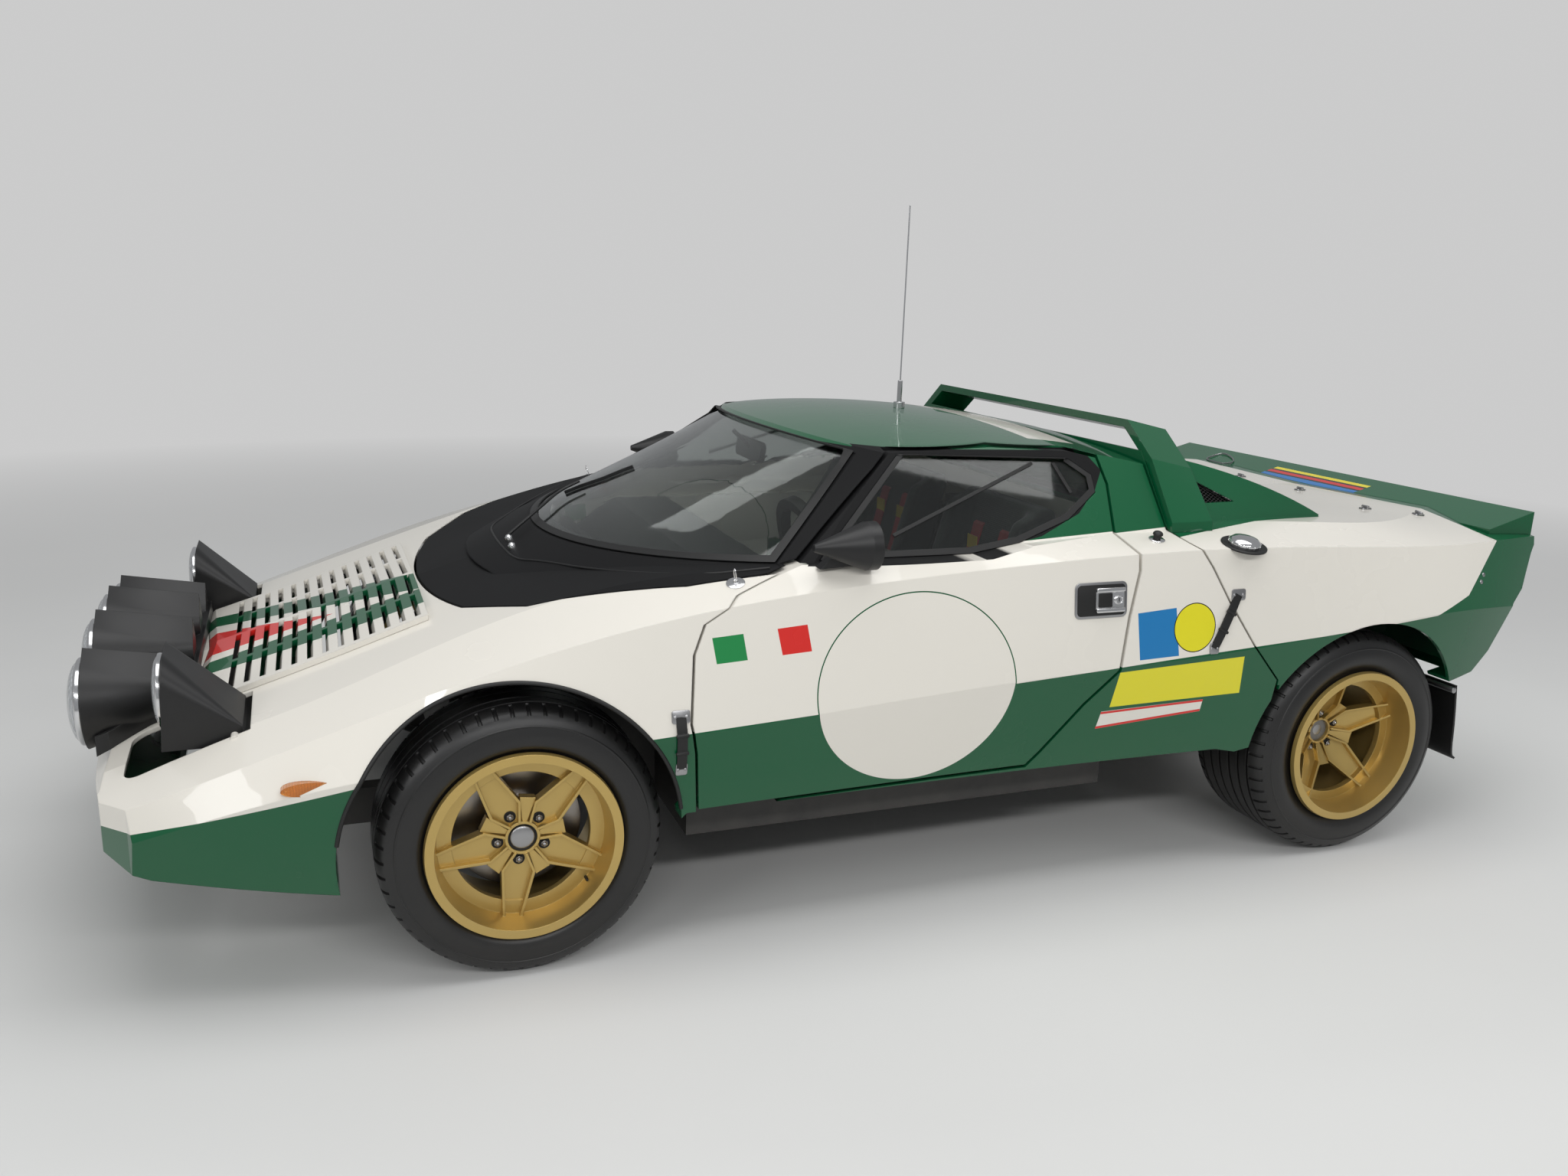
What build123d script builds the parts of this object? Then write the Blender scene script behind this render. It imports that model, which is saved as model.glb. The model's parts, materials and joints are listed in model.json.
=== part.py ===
"""A mid-engined two-door rally coupe of the 1970s, built as its real panels and running gear.

Units are millimetres. The nose points to -X, the car's left side is -Y and +Z is up. The origin
lies on the ground under the centre of the car's overall box. Stations are measured backwards from
the front axle, and station(s) turns one into an X value.
"""

from build123d import *
import os

os.makedirs("parts", exist_ok=True)

# Overall layout
CAR_LENGTH = 3791
WHEELBASE = 2180
FRONT_OVERHANG = 886
FRONT_AXLE_X = -CAR_LENGTH / 2 + FRONT_OVERHANG
REAR_AXLE_X = FRONT_AXLE_X + WHEELBASE
TAIL_STATION = CAR_LENGTH - FRONT_OVERHANG
ABOVE_CAR_Z = 1400
BELOW_BODY_Z = 200
PANEL_GAP = 6
DOOR_GAP = 8
SEAT_GAP = 0.4

# Wall thicknesses
CLAM_WALL = 10
DOOR_WALL = 60
CABIN_WALL = 24
GLASS_INSET = 4
GLASS_WALL = 6

# Front and rear wheels: overall radius, width, and the Y of the outer rim lip
FRONT_TYRE_RADIUS = 299
FRONT_TYRE_WIDTH = 218
FRONT_LIP_Y = 838
FRONT_DISH = 62
REAR_TYRE_RADIUS = 305
REAR_TYRE_WIDTH = 286
REAR_LIP_Y = 878
REAR_DISH = 140
RIM_LIP_RADIUS = 207
RIM_LIP_WIDTH = 12
RIM_BARREL_RADIUS = 190
RIM_WALL = 8
HUB_RADIUS = 72
HUB_THICKNESS = 34
HUB_BORE_RADIUS = 31
HUB_BOSS = (37, 9)  # radius, height above the hub plane
HUB_WEB_RADIUS = 82
SPOKE_COUNT = 5
# Each spoke is a kite-shaped tray between two ribs: (distance from the axis, half width)
SPOKE_KITE = [(34, 14), (75, 36), (178, 21)]
SPOKE_RIB_WIDTH = 6
# Heights of the tray's back, its floor and its ribs against the hub plane
SPOKE_BACK = -14
SPOKE_FLOOR = -3
SPOKE_RIB_TOP = 12
# Wedge between two spokes: (distance from the axis, half width)
SPOKE_WEDGE = [(36, 5), (90, 17)]
SHELF_THICKNESS = 16
SHELF_OUTER_RADIUS = 176
DISC_RADIUS = 138
DISC_THICKNESS = 22
STUB_RADIUS = 30.95
RIM_BACK_Y = 560

# Wheel arches: lip circle in each side panel, and the liner around the wheel
ARCH_RADIUS = 352
FRONT_ARCH_S = -20
FRONT_ARCH_Z = 300
REAR_ARCH_S = 2195
REAR_ARCH_Z = 295
ARCH_INNER_Y = 560
LINER_RADIUS = 378
LINER_WALL = 5
LINER_INNER_Y = 440
LINER_OUTER_Y = 790
KINGPIN_Y = 640

# Half sections of the lower body. The crown is the top of the wing, the shoulder the upper edge
# of the side and the waist the crease where the side is widest.
BODY_SECTIONS = [
    # station, centre_z, crown_y, crown_z, shoulder_y, shoulder_z, waist_y, waist_z, sill_y
    (-900, 388, 560, 386, 690, 372, 705, 340, 660),
    (-600, 540, 600, 515, 765, 486, 800, 420, 770),
    (-200, 668, 600, 655, 790, 626, 858, 500, 820),
    (150, 776, 600, 770, 808, 728, 866, 515, 825),
    (640, 842, 742, 848, 818, 804, 863, 540, 815),
    (1370, 868, 742, 880, 832, 850, 866, 582, 815),
    (2000, 885, 700, 888, 855, 852, 886, 625, 840),
    (2450, 862, 650, 868, 832, 832, 880, 660, 830),
    (2940, 835, 600, 842, 740, 816, 770, 640, 720),
]
SECTION_FLOOR_Z = 190

# Side silhouette of the lower body, as (station, z)
SIDE_OUTLINE = [
    (-858, 374),
    (-800, 432),
    (-800, ABOVE_CAR_Z),
    (TAIL_STATION - 2, ABOVE_CAR_Z),
    (TAIL_STATION - 2, 872),
    (2830, 783),
    (2776, 690),
    (2725, 655),
    (2655, 525),
    (2600, 470),
    (2450, 440),
    (1802, 322),
    (1740, 335),
    (342, 335),
    (250, 240),
    (-370, 237),
    (-705, 292),
    (-800, 326),
]
# Plan curves of nose and tail: station at the centre, station and Y at the corner
NOSE_PLAN = (-857, -796, 667)
TAIL_PLAN = (TAIL_STATION - 1, 2852, 750)
PLAN_CORNER_RUN = 55
PLAN_CORNER_Y = 745
PLAN_SIDE_Y = 960

# Cabin: screen foot and head, roof edge and rear corner, as (station, y, z)
SCREEN_FOOT = (120, 0, 795)
SCREEN_HEAD = (765, 0, 1085)
PILLAR_FOOT = (640, 750, 831)
PILLAR_HEAD = (900, 572, 1085)
REAR_FOOT = (1610, 738, 870)
REAR_HEAD = (1606, 571, 1085)
CABIN_BOTTOM_Z = 740
CABIN_TOP_Z = 1130
ROOF_Z = 1114
ROOF_APEX_S = 1130
ROOF_LONG_RADIUS = 2550
ROOF_EDGE_Y = 570
ROOF_CROWN = 30

# Rear deck hump between the roof and the tail
HUMP_FRONT_S = 1616
HUMP_REAR_S = 2200
HUMP_FRONT = (767, 832, 543, 1120)
HUMP_REAR = (622, 832, 590, 1120)
HUMP_LINE = [(1480, 1083), (1948, 983), (2230, 870)]

# Shut lines in side view, as (station, z)
DOOR_FRONT_LINE = [(369, 341), (359, 477), (347, 543), (359, 686), (385, 748), (470, 797), (630, 847)]
DOOR_REAR_LINE = [
    (1471, 1050), (1477, 990), (1453, 880), (1454, 814), (1428, 706), (1406, 579), (1321, 499),
    (1219, 382), (1187, 350),
]
DOOR_HEAD_LINE = [(905, 1070), (1180, 1078), (1400, 1066)]
REAR_CLAM_LINE = [(1616, 892), (1628, 867), (1668, 813), (1719, 730), (1803, 610), (1893, 515)]
SIDE_WINDOW = [
    (672, 852), (1052, 852), (1189, 870), (1342, 915), (1440, 972), (1444, 1012), (1392, 1048),
    (922, 1064),
]
SCREEN_OPENING = [(60, 806), (584, 842), (843, 1062), (735, 1081), (60, 1081)]
DOOR_INNER_Y = 545
COWL_ELLIPSE = [(-129, 0), (-64, 400), (57, 560), (377, 700), (640, 752)]
COWL_CUT_REAR_S = 1400
COWL_LOW_Z = 560
DOOR_HINGE_S = 343
DOOR_HINGE_Y = 870


def station(distance):
    """X of a place that lies this far behind the front axle."""
    return FRONT_AXLE_X + distance


def side_prism(outline, y_low, y_high):
    """Solid between two Y planes whose side view is an outline of (station, z) points."""
    with BuildPart() as prism:
        with BuildSketch(Plane.XZ.offset(-y_high)):
            with BuildLine():
                Polyline(*[(station(s), z) for s, z in outline], close=True)
            make_face()
        extrude(amount=y_high - y_low)
    return prism.part


def slab(s_low, s_high, y_low, y_high, z_low, z_high):
    """Rectangular block between two stations, two Y planes and two heights."""
    outline = [(s_low, z_low), (s_high, z_low), (s_high, z_high), (s_low, z_high)]
    return side_prism(outline, y_low, y_high)


def both_sides(shape):
    """A shape of the right-hand side together with its mirror image."""
    with BuildPart() as pair:
        add(shape)
        mirror(about=Plane.XZ)
    return pair.part


def cross_rod(s, z, radius, y_low, y_high):
    """Round bar across the car."""
    with BuildPart() as rod:
        with BuildSketch(Plane.XZ.offset(-y_high)):
            with Locations((station(s), z)):
                Circle(radius)
        extrude(amount=y_high - y_low)
    return rod.part


def section_face(row, inset):
    """Body section at one station, shrunk by inset."""
    distance, centre_z, crown_y, crown_z, shoulder_y, shoulder_z, waist_y, waist_z, sill_y = row
    half = [
        (crown_y - inset * 0.3, crown_z - inset),
        (shoulder_y - inset, shoulder_z - inset * 0.8),
        (waist_y - inset, waist_z),
        (sill_y - inset, SECTION_FLOOR_Z),
    ]
    other = [(-y, z) for y, z in reversed(half)]
    with BuildSketch(Plane.YZ.offset(station(distance))) as face:
        with BuildLine():
            Polyline((0, centre_z - inset), *half, *other, close=True)
        make_face()
    return face.sketch


def body_loft(inset):
    """Lofted body between the first and last section."""
    with BuildPart() as body:
        loft([section_face(row, inset) for row in BODY_SECTIONS])
    return body.part


def body_solid(inset):
    """Lower body trimmed by its side silhouette and its nose and tail plan curves."""
    nose_s, nose_corner_s, nose_y = NOSE_PLAN
    tail_s, tail_corner_s, tail_y = TAIL_PLAN
    with BuildPart() as body:
        add(body_loft(inset))
        with BuildSketch(Plane.XZ):
            with BuildLine():
                Polyline(*[(station(s), z) for s, z in SIDE_OUTLINE], close=True)
            make_face()
            if inset:
                offset(amount=-inset, kind=Kind.INTERSECTION)
        extrude(amount=PLAN_SIDE_Y, both=True, mode=Mode.INTERSECT)
        with BuildSketch(Plane.XY):
            with BuildLine():
                nose = ThreePointArc(
                    (station(nose_corner_s), -nose_y),
                    (station(nose_s), 0),
                    (station(nose_corner_s), nose_y),
                )
                Polyline(
                    nose @ 1,
                    (station(nose_corner_s + PLAN_CORNER_RUN), PLAN_CORNER_Y),
                    (station(nose_corner_s + 3 * PLAN_CORNER_RUN), PLAN_SIDE_Y),
                    (station(tail_corner_s - PLAN_CORNER_RUN), PLAN_SIDE_Y),
                    (station(tail_corner_s), tail_y),
                )
                ThreePointArc(
                    (station(tail_corner_s), tail_y),
                    (station(tail_s), 0),
                    (station(tail_corner_s), -tail_y),
                )
                Polyline(
                    (station(tail_corner_s), -tail_y),
                    (station(tail_corner_s - PLAN_CORNER_RUN), -PLAN_SIDE_Y),
                    (station(nose_corner_s + 3 * PLAN_CORNER_RUN), -PLAN_SIDE_Y),
                    (station(nose_corner_s + PLAN_CORNER_RUN), -PLAN_CORNER_Y),
                    nose @ 0,
                )
            make_face()
            if inset:
                offset(amount=-inset, kind=Kind.INTERSECTION)
        extrude(amount=ABOVE_CAR_Z, mode=Mode.INTERSECT)
    return body.part


def at_height(foot, head, z):
    """Station and Y where the line from foot to head reaches a height."""
    share = (z - foot[2]) / (head[2] - foot[2])
    return foot[0] + share * (head[0] - foot[0]), foot[1] + share * (head[1] - foot[1])


def cabin_wire(z, inset):
    """Plan outline of the cabin at one height, shrunk by inset."""
    screen_s, _ = at_height(SCREEN_FOOT, SCREEN_HEAD, z)
    pillar_s, pillar_y = at_height(PILLAR_FOOT, PILLAR_HEAD, z)
    rear_s, rear_y = at_height(REAR_FOOT, REAR_HEAD, z)
    screen_x = station(screen_s + 2.3 * inset)
    pillar = (station(pillar_s + inset), pillar_y - 1.2 * inset)
    rear = (station(rear_s - inset), rear_y - 1.2 * inset)
    with BuildSketch(Plane.XY.offset(z)) as outline:
        with BuildLine():
            ThreePointArc((pillar[0], -pillar[1]), (screen_x, 0), pillar)
            Polyline(pillar, rear, (rear[0], -rear[1]), (pillar[0], -pillar[1]))
        make_face()
    return outline.sketch


def cabin_solid(inset):
    """Cabin from below the belt to the roof, shrunk by inset."""
    axis_z = ROOF_Z - ROOF_LONG_RADIUS
    half = ROOF_EDGE_Y * 1.6
    edge_z = ROOF_Z - inset - ROOF_CROWN * 1.6 ** 2
    with BuildPart() as cabin:
        loft([cabin_wire(CABIN_BOTTOM_Z, inset), cabin_wire(CABIN_TOP_Z, inset)])
        with BuildSketch(Plane.YZ.offset(station(ROOF_APEX_S))):
            with BuildLine():
                ThreePointArc((-half, edge_z), (0, ROOF_Z - inset), (half, edge_z))
                Polyline((half, edge_z), (half, axis_z), (-half, axis_z), (-half, edge_z))
            make_face()
        axis = Axis((station(ROOF_APEX_S), 0, axis_z), (0, 1, 0))
        revolve(axis=axis, mode=Mode.INTERSECT)
    return cabin.part


def hump_face(distance, row, inset):
    """Section of the rear hump at one station, shrunk by inset."""
    foot_y, foot_z, head_y, head_z = row
    with BuildSketch(Plane.YZ.offset(station(distance))) as section:
        with BuildLine():
            Polyline(
                (foot_y - inset, foot_z),
                (head_y - inset, head_z),
                (inset - head_y, head_z),
                (inset - foot_y, foot_z),
                close=True,
            )
        make_face()
    return section.sketch


def hump_solid(inset):
    """Rear deck hump with its two buttresses, shrunk by inset."""
    front, middle, rear = [(station(s), z - inset) for s, z in HUMP_LINE]
    with BuildPart() as hump:
        loft([
            hump_face(HUMP_FRONT_S + inset, HUMP_FRONT, inset),
            hump_face(HUMP_REAR_S - inset, HUMP_REAR, inset),
        ])
        with BuildSketch(Plane.XZ):
            with BuildLine():
                ThreePointArc(front, middle, rear)
                Polyline(rear, (rear[0], HUMP_REAR[1]), (front[0], HUMP_REAR[1]), front)
            make_face()
        extrude(amount=PLAN_SIDE_Y, both=True, mode=Mode.INTERSECT)
    return hump.part


def cowl_prism(grow, z_low=COWL_LOW_Z):
    """Plan region of the fixed cowl ahead of the screen, grown by a gap, from z_low upwards."""
    points = [(station(s), y) for s, y in COWL_ELLIPSE]
    apex, second, third, fourth, corner = points
    rear_x = station(COWL_CUT_REAR_S)
    with BuildPart() as prism:
        with BuildSketch(Plane.XY.offset(z_low)):
            with BuildLine():
                ThreePointArc((second[0], -second[1]), apex, second)
                Polyline(second, third, fourth, corner, (rear_x, corner[1]), (rear_x, -corner[1]))
                mirror_points = [(x, -y) for x, y in (second, third, fourth, corner)]
                Polyline(*mirror_points, (rear_x, -corner[1]))
            make_face()
            if grow:
                offset(amount=grow, kind=Kind.INTERSECTION)
        extrude(amount=ABOVE_CAR_Z - z_low)
    return prism.part


def export(part, name):
    """Label one finished piece and write it to its own file."""
    part.label = name
    export_step(part, "parts/" + name + ".step")


# Master volumes
outer_body = body_solid(0)
clam_inside = body_solid(CLAM_WALL)
cell_inside_low = body_loft(DOOR_WALL)
outer_cabin = cabin_solid(0)
inner_cabin = cabin_solid(CABIN_WALL)
outer_hump = hump_solid(0)
inner_hump = hump_solid(CLAM_WALL)

# Wheel arches cut through the side panels
ARCHES = [
    (FRONT_ARCH_S, FRONT_ARCH_Z),
    (REAR_ARCH_S, REAR_ARCH_Z),
]
arch_cuts = [
    both_sides(cross_rod(s, z, ARCH_RADIUS, ARCH_INNER_Y, PLAN_SIDE_Y)) for s, z in ARCHES
]

# Whole cell: everything fixed between the two clams
TUB_FLOOR_Z = 215
TUB_TOP_Z = 352
TUB_HALF = 700
SILL_INNER_Y = 590
PLATE = 20
BULKHEAD_S = 384
REAR_BULKHEAD_S = 1480
FOOTWELL_FRONT_S = -105
FOOTWELL_HALF = 425
FOOTWELL_TOP_Z = 600
CABIN_REAR_S = HUMP_FRONT_S - PANEL_GAP
CELL_REAR_S = 1875
CELL_BOTTOM_Z = 300
DOOR_POST_TOP_Z = 690
REAR_BULKHEAD_TOP_Z = 790
door_outline = DOOR_FRONT_LINE + DOOR_HEAD_LINE + DOOR_REAR_LINE
cell_outline = (
    [(DOOR_FRONT_LINE[0][0], CELL_BOTTOM_Z)]
    + DOOR_FRONT_LINE
    + [(PILLAR_FOOT[0], ABOVE_CAR_Z), (CABIN_REAR_S, ABOVE_CAR_Z)]
    + [(s - PANEL_GAP, z) for s, z in REAR_CLAM_LINE]
    + [(CELL_REAR_S, CELL_BOTTOM_Z)]
)


def grown_prism(outline, grow, y_low, y_high):
    """Side prism whose outline is grown by a gap."""
    with BuildPart() as prism:
        with BuildSketch(Plane.XZ.offset(-y_high)):
            with BuildLine():
                Polyline(*[(station(s), z) for s, z in outline], close=True)
            make_face()
            offset(amount=grow, kind=Kind.INTERSECTION)
        extrude(amount=y_high - y_low)
    return prism.part


with BuildPart() as cell_region:
    add(side_prism(cell_outline, -PLAN_SIDE_Y, PLAN_SIDE_Y))
    add(cowl_prism(0))

UNDER_COWL_S = (-300, 330)
with BuildPart() as under_cowl:
    add(slab(*UNDER_COWL_S, -PLAN_SIDE_Y, PLAN_SIDE_Y, BELOW_BODY_Z, ABOVE_CAR_Z))
    add(clam_inside, mode=Mode.INTERSECT)

with BuildPart() as cell_hollow:
    add(cell_inside_low)
    add(under_cowl.part)
    add(inner_cabin)

with BuildPart() as cell:
    add(outer_body)
    add(outer_cabin)
    add(cell_region.part, mode=Mode.INTERSECT)
    add(cell_hollow.part, mode=Mode.SUBTRACT)

door_cut = both_sides(grown_prism(door_outline, DOOR_GAP, DOOR_INNER_Y - DOOR_GAP, PLAN_SIDE_Y))
door_body = side_prism(door_outline, DOOR_INNER_Y, PLAN_SIDE_Y)
window_prism = side_prism(SIDE_WINDOW, DOOR_INNER_Y - DOOR_GAP, PLAN_SIDE_Y)
screen_cut = side_prism(SCREEN_OPENING, -PLAN_SIDE_Y, PLAN_SIDE_Y)

# Rear window in the cabin's back wall
REAR_WINDOW_HALF = 420
REAR_WINDOW_LOW = 905
REAR_WINDOW_HIGH = 1020
rear_window_cut = slab(
    CABIN_REAR_S - 60, CABIN_REAR_S + 10, -REAR_WINDOW_HALF, REAR_WINDOW_HALF,
    REAR_WINDOW_LOW, REAR_WINDOW_HIGH,
)

with BuildPart() as cabin_shell:
    add(cell.part)
    add(door_cut, mode=Mode.SUBTRACT)
    add(screen_cut, mode=Mode.SUBTRACT)
    add(rear_window_cut, mode=Mode.SUBTRACT)
    add(
        slab(BULKHEAD_S - 84, CELL_REAR_S + 25, -TUB_HALF, TUB_HALF, BELOW_BODY_Z, TUB_TOP_Z),
        mode=Mode.SUBTRACT,
    )
    add(arch_cuts[1], mode=Mode.SUBTRACT)
export(cabin_shell.part, "cabin_shell")

with BuildPart() as cabin_glass:
    add(cabin_solid(GLASS_INSET))
    add(cabin_solid(GLASS_INSET + GLASS_WALL), mode=Mode.SUBTRACT)

with BuildPart() as windscreen:
    add(cabin_glass.part)
    add(screen_cut, mode=Mode.INTERSECT)
export(windscreen.part, "windscreen")

with BuildPart() as rear_window:
    add(slab(
        CABIN_REAR_S - GLASS_INSET - GLASS_WALL, CABIN_REAR_S - GLASS_INSET,
        -REAR_WINDOW_HALF, REAR_WINDOW_HALF, REAR_WINDOW_LOW, REAR_WINDOW_HIGH,
    ))
export(rear_window.part, "rear_window")

# Floor tub with sills, bulkheads and the footwell between the front wheels
with BuildPart() as door_post:
    add(slab(
        BULKHEAD_S, BULKHEAD_S + PLATE, -PLAN_SIDE_Y, PLAN_SIDE_Y, TUB_TOP_Z, DOOR_POST_TOP_Z,
    ))
    add(body_loft(DOOR_WALL + SEAT_GAP), mode=Mode.INTERSECT)
    add(slab(BULKHEAD_S, BULKHEAD_S + PLATE, -TUB_HALF, TUB_HALF, TUB_FLOOR_Z, TUB_TOP_Z))
with BuildPart() as rear_bulkhead:
    add(slab(
        REAR_BULKHEAD_S, REAR_BULKHEAD_S + PLATE, -PLAN_SIDE_Y, PLAN_SIDE_Y, TUB_TOP_Z,
        REAR_BULKHEAD_TOP_Z,
    ))
    add(cell_inside_low, mode=Mode.INTERSECT)
    add(slab(REAR_BULKHEAD_S, REAR_BULKHEAD_S + PLATE, -TUB_HALF, TUB_HALF, TUB_FLOOR_Z, TUB_TOP_Z))
with BuildPart() as floor_tub:
    add(slab(BULKHEAD_S, REAR_BULKHEAD_S + PLATE, -TUB_HALF, TUB_HALF, TUB_FLOOR_Z, TUB_TOP_Z))
    add(
        slab(BULKHEAD_S + PLATE, REAR_BULKHEAD_S, -SILL_INNER_Y, SILL_INNER_Y,
             TUB_FLOOR_Z + PLATE, TUB_TOP_Z + 1),
        mode=Mode.SUBTRACT,
    )
    add(door_post.part)
    add(rear_bulkhead.part)
    add(slab(
        FOOTWELL_FRONT_S, BULKHEAD_S + PLATE, -FOOTWELL_HALF, FOOTWELL_HALF, TUB_FLOOR_Z,
        FOOTWELL_TOP_Z,
    ))
    add(
        slab(FOOTWELL_FRONT_S + PLATE, BULKHEAD_S + PLATE + 1, -FOOTWELL_HALF + PLATE,
             FOOTWELL_HALF - PLATE, TUB_FLOOR_Z + PLATE, FOOTWELL_TOP_Z - PLATE),
        mode=Mode.SUBTRACT,
    )
export(floor_tub.part, "floor_tub")

# Doors
with BuildPart() as door_right:
    add(outer_body)
    add(outer_cabin)
    add(door_body, mode=Mode.INTERSECT)
    add(cell_hollow.part, mode=Mode.SUBTRACT)
    add(window_prism, mode=Mode.SUBTRACT)
with BuildPart() as door_glass_right:
    add(cabin_glass.part)
    add(window_prism, mode=Mode.INTERSECT)

# Door mirrors: a foot on the door top and a conical head
MIRROR_FOOT = [(654, 846), (762, 852), (730, 880), (692, 880)]
MIRROR_FOOT_Y = (758, 786)
MIRROR_AXIS = (802, 898)
# Head, as (station, distance from its axis)
MIRROR_HEAD = [(630, 0), (774, 0), (774, 54), (750, 54), (630, 8)]
with BuildPart() as mirror_right:
    add(side_prism(MIRROR_FOOT, *MIRROR_FOOT_Y))
    axis_y, axis_z = MIRROR_AXIS
    with BuildSketch(Plane.XY.offset(axis_z)):
        with BuildLine():
            Polyline(*[(station(s), axis_y + r) for s, r in MIRROR_HEAD], close=True)
        make_face()
    revolve(axis=Axis((0, axis_y, axis_z), (1, 0, 0)))
    add(outer_body, mode=Mode.SUBTRACT)
    add(outer_cabin, mode=Mode.SUBTRACT)


def export_pair(part, name):
    """Write a right-hand piece and its mirror image."""
    with BuildPart() as left:
        add(mirror(part, about=Plane.XZ, mode=Mode.PRIVATE))
    export(part, name + "_right")
    export(left.part, name + "_left")


export_pair(door_right.part, "door")
export_pair(door_glass_right.part, "door_glass")
export_pair(mirror_right.part, "door_mirror")

# Front clam
CLAM_TOP_REAR = [(760, 860), (760, 1000)]
CLAM_FRONT_S = -900
clam_rear_edge = [(DOOR_FRONT_LINE[0][0], BELOW_BODY_Z)] + DOOR_FRONT_LINE
clam_front_limit = [(CLAM_FRONT_S, BELOW_BODY_Z)] + [(s - PANEL_GAP, z) for s, z in clam_rear_edge]
clam_front_limit += CLAM_TOP_REAR + [(CLAM_FRONT_S, CLAM_TOP_REAR[1][1])]
CLAM_OPEN_REAR_S = 420
CLAM_OPEN_Z = (BELOW_BODY_Z, 420)
CHIN_REAR_S = -690
HEADLAMP_POCKET = (-757, -518, 414, 631)
HEADLAMP_POCKET_CORNER = 34
HEADLAMP_PIVOT = (-548, 524)
POCKET_Z = (380, 700)
HOOD_OPENING = (-585, -152, 380)
HOOD_OPENING_Z = (480, 900)
PIVOT_RADIUS = 8
PIVOT_FIT = 0.06
FRONT_HINGE = (-720, 330)
HINGE_ARM_Y = (296, 310)
HINGE_EAR_Y = (318, 328)
HINGE_PIN_Y = (300, 332)
HINGE_SLOT_REAR_S = -600
REAR_HINGE = (2620, 560)
REAR_ARM_Y = (400, 414)
REAR_EAR_Y = (422, 432)
REAR_PIN_Y = (404, 436)


def headlamp_pocket():
    """Hole in the right-hand wing top, with its two front corners rounded."""
    s_low, s_high, y_low, y_high = HEADLAMP_POCKET
    with BuildPart() as pocket:
        with BuildSketch(Plane.XY.offset(POCKET_Z[0])):
            with Locations((station((s_low + s_high) / 2), (y_low + y_high) / 2)):
                Rectangle(s_high - s_low, y_high - y_low)
            fillet(vertices().sort_by(Axis.X)[:2], HEADLAMP_POCKET_CORNER)
        extrude(amount=POCKET_Z[1] - POCKET_Z[0])
    return pocket.part


with BuildPart() as front_clam:
    add(side_prism(clam_front_limit, -PLAN_SIDE_Y, PLAN_SIDE_Y))
    add(outer_body, mode=Mode.INTERSECT)
    add(clam_inside, mode=Mode.SUBTRACT)
    add(cowl_prism(PANEL_GAP), mode=Mode.SUBTRACT)
    add(arch_cuts[0], mode=Mode.SUBTRACT)
    add(
        slab(CHIN_REAR_S, CLAM_OPEN_REAR_S, -ARCH_INNER_Y, ARCH_INNER_Y, *CLAM_OPEN_Z),
        mode=Mode.SUBTRACT,
    )
    add(
        slab(FRONT_ARCH_S, CLAM_OPEN_REAR_S, -LINER_OUTER_Y, LINER_OUTER_Y, *CLAM_OPEN_Z),
        mode=Mode.SUBTRACT,
    )
    add(both_sides(headlamp_pocket()), mode=Mode.SUBTRACT)
    s_low, s_high, y_half = HOOD_OPENING
    add(slab(s_low, s_high, -y_half, y_half, *HOOD_OPENING_Z), mode=Mode.SUBTRACT)
    pin_low, pin_high = HEADLAMP_POCKET[2] - 10, HEADLAMP_POCKET[3] + 12
    add(both_sides(cross_rod(*HEADLAMP_PIVOT, PIVOT_RADIUS, pin_low, pin_high)))
    hinge_s, hinge_z = FRONT_HINGE
    add(both_sides(slab(hinge_s - 26, hinge_s + 26, *HINGE_EAR_Y, 302, hinge_z + 18)))
    hinge_bore = cross_rod(hinge_s, hinge_z, PIVOT_RADIUS + PIVOT_FIT, 280, 345)
    add(both_sides(hinge_bore), mode=Mode.SUBTRACT)
    slot_low, slot_high = HINGE_ARM_Y[0] - PANEL_GAP, HINGE_ARM_Y[1] + PANEL_GAP
    arm_slot = slab(hinge_s - 30, HINGE_SLOT_REAR_S, slot_low, slot_high, *CLAM_OPEN_Z)
    add(both_sides(arm_slot), mode=Mode.SUBTRACT)
export(front_clam.part, "front_clam")

# Front wheel liners under the clam, cut off level below their ends
LINER_CUT_S = (-500, 500)
LINER_CUT_Y = (400, 900)
LINER_CUT_Z = (-200, 330)
with BuildPart() as liner_front:
    add(cross_rod(FRONT_ARCH_S, FRONT_ARCH_Z, LINER_RADIUS + LINER_WALL, LINER_INNER_Y, LINER_OUTER_Y))
    add(
        cross_rod(FRONT_ARCH_S, FRONT_ARCH_Z, LINER_RADIUS, LINER_INNER_Y - 1, LINER_OUTER_Y + 1),
        mode=Mode.SUBTRACT,
    )
    add(slab(*LINER_CUT_S, *LINER_CUT_Y, *LINER_CUT_Z), mode=Mode.SUBTRACT)
    add(clam_inside, mode=Mode.INTERSECT)
    add(cowl_prism(PANEL_GAP, SECTION_FLOOR_Z), mode=Mode.SUBTRACT)
export(both_sides(liner_front.part), "front_liners")

# Raised louvre panel let into the nose, with slanted slots in rows
HOOD_PANEL_RISE = 14
HOOD_PANEL_HALF = 400
HOOD_PANEL_SIDE = [(-648, 400), (-648, 512), (-600, 560), (-600, 1000), (-142, 1000), (-142, 400)]
HOOD_SLOT_ROWS = 13
HOOD_SLOT_PITCH = 33
HOOD_SLOT_LENGTH = 11
HOOD_SLOT_FIRST = (-567, 557)
HOOD_SLOPE = 0.308
HOOD_SLOT_LEAN = 0.35
HOOD_SLOT_DEPTH = 40
# Four slots stand side by side in each row: (inner Y, outer Y) on the right
HOOD_SLOT_Y = [(11, 189), (206, 378)]


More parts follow.
